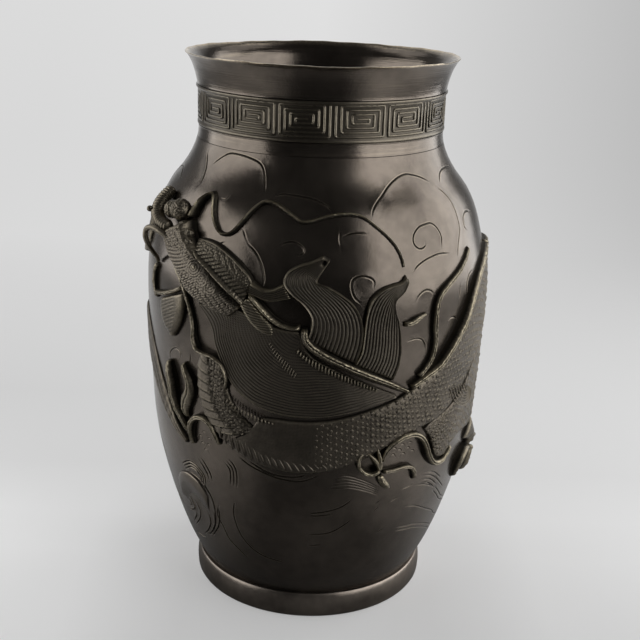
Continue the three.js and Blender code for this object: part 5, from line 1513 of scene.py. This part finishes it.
# Eye, nose and lips: a small bead in rings, two rough lobes at the tip of the snout, a ribbed lip
# that curls round, and a cord that stands clear of the vase at the corner of the mouth. They are
# soldered on; the three knots behind the lobes belong to the head's own casting.
def bead(name, node, slot, place_on, size, flatten, roughness, scribble_size, finish, segments):
    """A ball seated on the belly, rubbed and scribbled with a chisel."""
    rings = segments // 2
    phi = np.linspace(0, math.pi, rings + 1)[1:-1]
    theta = np.arange(segments) * 2 * math.pi / segments
    p, q = np.meshgrid(phi, theta, indexing="ij")
    unit = np.stack([np.sin(p) * np.cos(q), np.sin(p) * np.sin(q), np.cos(p)], -1).reshape(-1, 3)
    unit = np.concatenate([unit, [[0, 0, 1], [0, 0, -1]]])
    a, b, c = (unit * size / scribble_size).T
    waves = np.sin(3.1 * a + 1.7 * np.sin(2.3 * b + c)) * np.sin(2.7 * b + 1.9 * np.sin(1.9 * c + a))
    waves = waves + 0.6 * np.sin(4.3 * c + 2.9 * a) * np.sin(4.7 * b - 3.3 * c)
    radius = size + roughness * waves
    degrees, height, lift = place_on
    centre = on_belly(degrees * mm_per_degree, height, lift)
    out = Vector((math.sin(math.radians(degrees)), -math.cos(math.radians(degrees)), 0))
    turned_out = np.array(out.to_track_quat("Z", "Y").to_matrix())
    points = (unit * [1, 1, flatten] * radius[:, None]) @ turned_out.T * MM + centre
    count = rings - 1
    faces = [(i * segments + j, i * segments + (j + 1) % segments, (i + 1) * segments + (j + 1) % segments,
              (i + 1) * segments + j) for i in range(count - 1) for j in range(segments)]
    top, bottom = len(unit) - 2, len(unit) - 1
    faces += [(top, (j + 1) % segments, j) for j in range(segments)]
    faces += [(bottom, (count - 1) * segments + j, (count - 1) * segments + (j + 1) % segments)
              for j in range(segments)]
    # High points are rubbed paler and low points painted darker, partly patina and partly painted shade.
    marks = {"wear": np.clip(0.28 + 0.4 * waves, 0, 1), "grime": np.clip(-0.1 - 0.9 * waves, 0, 1)}
    piece = plain_mesh(name, points, faces, finish, marks)
    face_outwards(piece)
    settle(piece, slot, node)


bead("nose_left_lobe", "nose", "relief_bronze", (-54.6, 225.2, 5.8), 4.5, 1.0, 0.28, 0.85, relief_finish, 72)
bead("nose_right_lobe", "nose", "relief_bronze", (-50.6, 226.2, 5.4), 5.3, 1.0, 0.30, 0.85, relief_finish, 80)
for number, (place_on, size) in enumerate((((-46.6, 219.6, 5.2), 2.6), ((-43.6, 216.8, 5.0), 2.5),
                                           ((-42.4, 212.9, 6.0), 2.2)), 1):
    bead(f"snout_knot_{number}", "head", "relief_bronze", place_on, size, 1.0, 0.26, 0.8, relief_finish, 40)
knob_place = (-62.8, 223.4, 12)
bead("nose_knob_bead", "nose_knob", "relief_bronze", knob_place, 1.6, 1.0, 0.04, 1.0, relief_finish, 24)
bead("eye_bead", "eye", "worn_bronze", (*eye_place, 6.6), 1.35, 0.75, 0.02, 1.0, worn_finish, 24)

cording, given = form_plan("cord", {
    "Radius": "Float", "Thin Start": "Float", "Thin End": "Float", "Rib Spacing": "Float",
    "Rib Depth": "Float", "Step": "Float", "Sides": "Int"
})
line = cording.add("GeometryNodeMeshToCurve", {}, {"Mesh": given.part("Geometry")})
line = cording.stepped(line, given.part("Step"))
spline = cording.add("GeometryNodeSplineParameter", {}, {})
share, gone = spline.part("Factor"), spline.part("Length")
whole = cording.add("GeometryNodeSplineLength", {}, {}).part("Length")
taper = given.part("Thin Start") + share * (given.part("Thin End") - given.part("Thin Start"))
nearest_end = gone.sum_with("MINIMUM", gone, whole - gone)
rounding = (nearest_end / given.part("Radius")).held(0.0, 1.0)
rounding = rounding.sum_with("SQRT", rounding * (2.0 - rounding)) * 0.9 + 0.1
wave = (gone / given.part("Rib Spacing") * math.pi).sine()
ribs = 1.0 + wave.sum_with("ABSOLUTE", wave) * given.part("Rib Depth")
thickness = given.part("Radius") * taper * rounding * ribs
ring = cording.add("GeometryNodeCurvePrimitiveCircle", {"mode": "RADIUS"}, {
    "Resolution": given.part("Sides"), "Radius": 1.0
})
cord = cording.add("GeometryNodeCurveToMesh", {}, {
    "Curve": line, "Profile Curve": ring, "Scale": thickness, "Fill Caps": True
})
close_form(cording, cording.marked(cord, "wear", 0.34), given)


def lifted_cord(name, points, values):
    """A cord through [degrees, height, lift] points, made by the cord form."""
    line = paced(unrolled(points), 0.8)
    mesh = bpy.data.meshes.new(name)
    mesh.from_pydata(on_belly(line[:, 0], line[:, 1], line[:, 2]).tolist(),
                     [(i, i + 1) for i in range(len(line) - 1)], [])
    defaults = {"Thin Start": 1.0, "Thin End": 1.0, "Rib Spacing": 2 * MM, "Rib Depth": 0.0,
                "Step": 0.5 * MM, "Sides": 16, "Finish": relief_finish}
    piece = shape_with(put_in_scene(name, mesh), cording, {**defaults, **values})
    face_outwards(piece)
    return piece


lip_roll = lifted_cord("lip_roll_ribbed", [
    (-66.4, 232, 1.8), (-65.6, 228.6, 4.4), (-63.8, 225, 6.8), (-61, 221.2, 8.0), (-57, 218.2, 8),
    (-52, 217, 7)
], {"Radius": 3.1 * MM, "Thin Start": 0.9, "Rib Spacing": 1.7 * MM, "Rib Depth": 0.22, "Step": 0.25 * MM})
settle(lip_roll, "relief_bronze", "lip_roll")
whisker_loop = lifted_cord("whisker_loop_cord", [
    (-51, 212.8, 7.5), (-53.5, 215.2, 10.8), (-56.6, 216.4, 12.8), (-59.2, 214.6, 13.3), (-59.6, 210.6, 12.7),
    (-59.2, 206, 10.1), (-59.6, 202, 6.4), (-60.6, 198.6, 3), (-61.4, 195.6, 1.2)
], {"Radius": 1.4 * MM, "Thin Start": 1.15, "Thin End": 0.8})
settle(whisker_loop, "relief_bronze", "whisker_loop")

# Brow crest: a cast leaf along the top of the head. Its lower edge is a high ridge over the eye,
# its upper edge a fine raised outline, and two rows of slanted ribs lie in the hollow between.
crest_height = 8.4
crest_heights = [5, crest_height, crest_height, crest_height, 7]
crest = sheet_field([
    (-41.4, 212.6), (-40, 214.9), (-36.2, 215.2), (-31.7, 213.9), (-27.1, 210.5), (-23.4, 206.7),
    (-20.4, 202.6), (-18.9, 199)
], [
    (-41.2, 211.6), (-39.2, 208.8), (-36.2, 205.8), (-32.7, 202.4), (-29.2, 198.4), (-26, 194.8),
    (-23.3, 191.4), (-21.2, 188.4)
], 0.35, 56)
crest_full = spread(crest_heights, crest.share)[:, None]
crest_shape = np.interp(crest.t[0], [0, 0.04, 0.1, 0.42, 0.8, 0.88, 0.94, 1.0],
                        [0.30, 0.46, 0.40, 0.56, 0.74, 0.96, 1.0, 0.7])[None, :]
crest_lift = crest_full * crest_shape * (0.5 + 0.5 * np.clip(crest.s / 2.0, 0, 1) ** 0.5)
long_ribs = window(crest.t, 0.46, 0.84, 0.025) * ridges((crest.y - 0.30 * crest.x) / 1.95)
short_ribs = window(crest.t, 0.12, 0.42, 0.03) * hatched(crest, 20, 1.25, 2.6, 0.3)
crest_lift = crest_lift + 0.95 * long_ribs + 0.45 * short_ribs + scribbled(crest, 1.0, 0.14)
crest_piece = laid_sheet("brow_crest_ribbed", crest, crest_lift, worn_finish, 0.0, 0.0, 0.9, rub=0.4)
settle(crest_piece, "worn_bronze", "brow_crest")

# Horn and its root: a spike with a double ridge along its top, from a knob behind the crest to
# the trunk, with tufts of combed hair where it leaves the head.
horn_line = [
    (-3, 178.9), (-2.8, 174), (-0.7, 169.5), (3.7, 164.6), (8.4, 160.5), (13, 156.6), (17.7, 152.8),
    (22.3, 149.1), (26.8, 145.1), (30.4, 142.2)
]
horn = strand_field(horn_line, [3, 4.6, 4.6, 4.6, 4.6, 3.6, 2], 0.4, 30)
horn_full = spread([5, 6.4, 6.4, 6.4, 6.4, 5.4, 3.9], horn.share)[:, None]
horn_shape = np.interp(horn.t[0], [0, 0.1, 0.22, 0.34, 0.46, 0.58, 0.8, 1.0],
                       [0.62, 0.97, 1.0, 0.86, 0.95, 0.84, 0.6, 0.34])[None, :]
horn_teeth_zone = window(horn.t, 0.56, 2, 0.04) * window(horn.share, 0.06, 0.72, 0.03)[:, None]
horn_lift = horn_full * horn_shape * (0.4 + 0.6 * np.clip(horn.from_end() / 1.5, 0, 1) ** 0.5)
horn_lift = horn_lift + 0.9 * horn_teeth_zone * ridges((horn.s + 1.3 * horn.t * horn.w) / 1.75)
horn_lift = horn_lift + scribbled(horn, 1.1, 0.24)
horn_wear = 0.32 * np.exp(-((horn.t - 0.2) / 0.12) ** 2) + 0.15 * np.exp(-((horn.t - 0.48) / 0.08) ** 2)
# The horn's lower side, where the teeth are, is painted darker: painted shade under the spike.
horn_lower_shade = 0.15 * (horn.t > 0.6)
horn_piece = laid_sheet("horn_double_ridge", horn, horn_lift, worn_finish, horn_wear, horn_lower_shade, 0.9)
settle(horn_piece, "worn_bronze", "horn")
toe("horn_root_cord", "horn_root", [
    (-19.6, 193.6), (-17.6, 190.4), (-14.9, 186), (-12.4, 182.4), (-9.6, 179.9), (-6.6, 178.8), (-4.2, 179.3)
], [3.2, 3, 2.6, 2.4, 2.4], [5.5, 5, 5], 0.0, 0.25)
lock("temple_tuft_combed", "temple_tuft", [
    (-18.8, 199.6), (-17.6, 198.2), (-15.4, 196.9), (-12.6, 197.2), (-9.4, 200)
], [
    (-19.4, 193.6), (-17.2, 192.8), (-14.6, 191.4), (-12, 191.2), (-6.8, 193.2)
], [6, 5, 4.4, 3.4], 7, 0.5, 0.5, 0.3, worn_finish, 0.0, "worn_bronze", 0)
nape = sheet_field([(-19.2, 192.6), (-16.6, 187.6), (-14.4, 183.4), (-12.4, 179.6), (-11.6, 174.6)],
                   [(-22.6, 189.2), (-21.4, 184.6), (-19.4, 179.4), (-16.6, 175.4), (-13.4, 173)], 0.35, 26)
nape_lift = raised(nape, [6.3, 5.3, 4.3, 2.8], 2.4, 0.6, 1.5) - 0.5
nape_teeth = ridges((nape.s + 2.2 * (nape.t - 0.5) * nape.w / 2.4) / 2.0)
nape_lift = nape_lift + 0.95 * nape_teeth * window(nape.t, 0.08, 0.98, 0.03)
nape_piece = laid_sheet("nape_tuft_curled", nape, nape_lift, worn_finish, 0.1, 0.0, 0.9)
settle(nape_piece, "worn_bronze", "nape_tuft")

# Teeth of the horn: short ribs along its lower side, chased in the casting like the teeth of
# a comb. They are longest in the middle and shrink towards the horn's point.
ribbing, given = form_plan("ribs", {
    "Spacing": "Float", "Thickness": "Float", "Height": "Float", "Wear": "Float", "Seed": "Int"
})
line = ribbing.add("GeometryNodeMeshToCurve", {}, {"Mesh": given.part("Geometry")})
line = ribbing.stepped(line, given.part("Spacing"))
reach = ribbing.add("GeometryNodeInputNamedAttribute", {"data_type": "FLOAT_VECTOR"}, {"Name": "reach"})
outwards = ribbing.add("GeometryNodeInputNamedAttribute", {"data_type": "FLOAT_VECTOR"}, {"Name": "outwards"})
facing = ribbing.add("FunctionNodeAxesToRotation", {"primary_axis": "Z", "secondary_axis": "X"}, {
    "Primary Axis": outwards, "Secondary Axis": reach
})
reach_length = ribbing.add("ShaderNodeVectorMath", {"operation": "LENGTH"}, {0: reach}).part("Value")
uneven = ribbing.add("FunctionNodeRandomValue", {"data_type": "FLOAT"}, {
    "Min": 0.82, "Max": 1.15, "Seed": given.part("Seed")
})
size = ribbing.add("ShaderNodeCombineXYZ", {}, {
    "X": reach_length * uneven, "Y": given.part("Thickness"), "Z": given.part("Height")
})
ball = ribbing.add("GeometryNodeMeshUVSphere", {}, {"Segments": 10, "Rings": 6, "Radius": 0.5})
ribs = ribbing.add("GeometryNodeInstanceOnPoints", {}, {
    "Points": line, "Instance": ball, "Rotation": facing, "Scale": size
})
ribs = ribbing.add("GeometryNodeRealizeInstances", {}, {"Geometry": ribs})
close_form(ribbing, ribbing.marked(ribs, "wear", given.part("Wear")), given)


def rib_row(name, line, lean, lengths, values):
    """Ribs set along a line of [degrees, height, lift], each leaning by an angle from it."""
    points = paced(unrolled(line), 0.6)
    direction = np.gradient(points[:, :2], axis=0)
    direction /= np.linalg.norm(direction, axis=1, keepdims=True)
    lean = math.radians(lean)
    reach = np.stack([direction[:, 0] * math.cos(lean) - direction[:, 1] * math.sin(lean),
                      direction[:, 0] * math.sin(lean) + direction[:, 1] * math.cos(lean)], -1)
    reach *= spread(lengths, np.linspace(0, 1, len(points)))[:, None] / 2
    start = on_belly(points[:, 0] - reach[:, 0], points[:, 1] - reach[:, 1], points[:, 2])
    end = on_belly(points[:, 0] + reach[:, 0], points[:, 1] + reach[:, 1], points[:, 2])
    bearing = points[:, 0] / belly_radius
    outwards = np.stack([np.sin(bearing), -np.cos(bearing), 0 * bearing], -1)
    mesh = bpy.data.meshes.new(name)
    mesh.from_pydata(((start + end) / 2).tolist(), [(i, i + 1) for i in range(len(points) - 1)], [])
    for label, vectors in (("reach", end - start), ("outwards", outwards)):
        mesh.attributes.new(label, "FLOAT_VECTOR", "POINT").data.foreach_set("vector", vectors.ravel())
    defaults = {"Spacing": 1.25 * MM, "Thickness": 0.85 * MM, "Height": 1.2 * MM, "Wear": 0.3, "Seed": 1,
                "Finish": worn_finish}
    return shape_with(put_in_scene(name, mesh), ribbing, {**defaults, **values})


horn_teeth = rib_row("horn_teeth", [
    (-4.6, 167.2, 3.0), (-1.8, 163.2, 3.2), (2.8, 158.8, 3.2), (7.4, 155, 3.2), (12, 151.3, 3.0),
    (16, 148.2, 2.8), (19, 146, 2.6)
], -62, [3.2, 4.0, 4.0, 3.4, 2.0], {"Spacing": 1.75 * MM, "Thickness": 0.95 * MM, "Height": 2.4 * MM})
settle(horn_teeth, "worn_bronze", "horn")

# Fins: a comb of short teeth where the trunk leaves the neck, slanted fins along the trunk's
# lower edge, and fine ticks beside the horn at the edge of the fan of hair. All are chased in
# the castings they stand on.
neck_fins = rib_row("neck_fins", [
    (-26.8, 135.4, 2.9), (-24, 132.6, 2.6), (-20.6, 130.4, 2.4), (-16.4, 128.4, 2.2), (-12, 127.2, 2.0)
], -70, [3.2, 4.4, 4.2, 3.2, 2.0], {"Spacing": 1.8 * MM, "Thickness": 0.9 * MM, "Height": 1.5 * MM, "Seed": 4,
                                    "Finish": relief_finish})
settle(neck_fins, "relief_bronze", "trunk_front")
fan_ticks = rib_row("fan_ticks", [
    (-13, 169.8, 2.4), (-11.2, 165, 2.4), (-8.4, 159.4, 2.4), (-5.4, 154.4, 2.4)
], -64, [1.6, 3, 4, 5, 4], {"Spacing": 1.5 * MM, "Thickness": 0.6 * MM, "Height": 1.1 * MM, "Seed": 5,
                            "Finish": relief_finish})
settle(fan_ticks, "relief_bronze", "mane_fan")
trunk_fins = rib_row("trunk_fins", [
    (-29.6, 117.2, 2.8), (-26.4, 114, 2.5), (-21.4, 110.6, 2.2), (-15.6, 107.4, 1.9), (-9, 105, 1.8),
    (-2, 104.4, 1.7), (4.6, 105.6, 1.6), (8, 106.4, 1.6)
], -50, [8, 10, 9, 8, 7, 5], {"Spacing": 3.5 * MM, "Thickness": 1.9 * MM, "Height": 1.5 * MM, "Wear": 0.06,
                               "Seed": 8, "Finish": relief_finish})
settle(trunk_fins, "relief_bronze", "trunk_front")

# Swirl of the haunch: seven fine raised lines that turn round the hip, one inside the other,
# as if the hide were folded there. They are chased in the haunch's own casting.
swirl_lines = 7
for number in range(swirl_lines):
    swirl = lifted_cord(f"haunch_swirl_{number + 1}", [
        (48.4 + 1.5 * number, 137.1 - 0.2 * number, 2.9), (50.3 + 1.35 * number, 131.6 + 0.3 * number, 2.9),
        (53.7 + 0.9 * number, 125.9 + 1.0 * number, 2.9), (59 + 0.1 * number, 122.3 + 1.5 * number, 2.8),
        (64 - 0.6 * number, 122.7 + 1.5 * number, 2.7), (65 - 0.7 * number, 128.8 + 0.7 * number, 2.6)
    ], {"Radius": 0.5 * MM, "Thin Start": 0.6, "Thin End": 0.6})
    settle(swirl, "relief_bronze", "haunch")
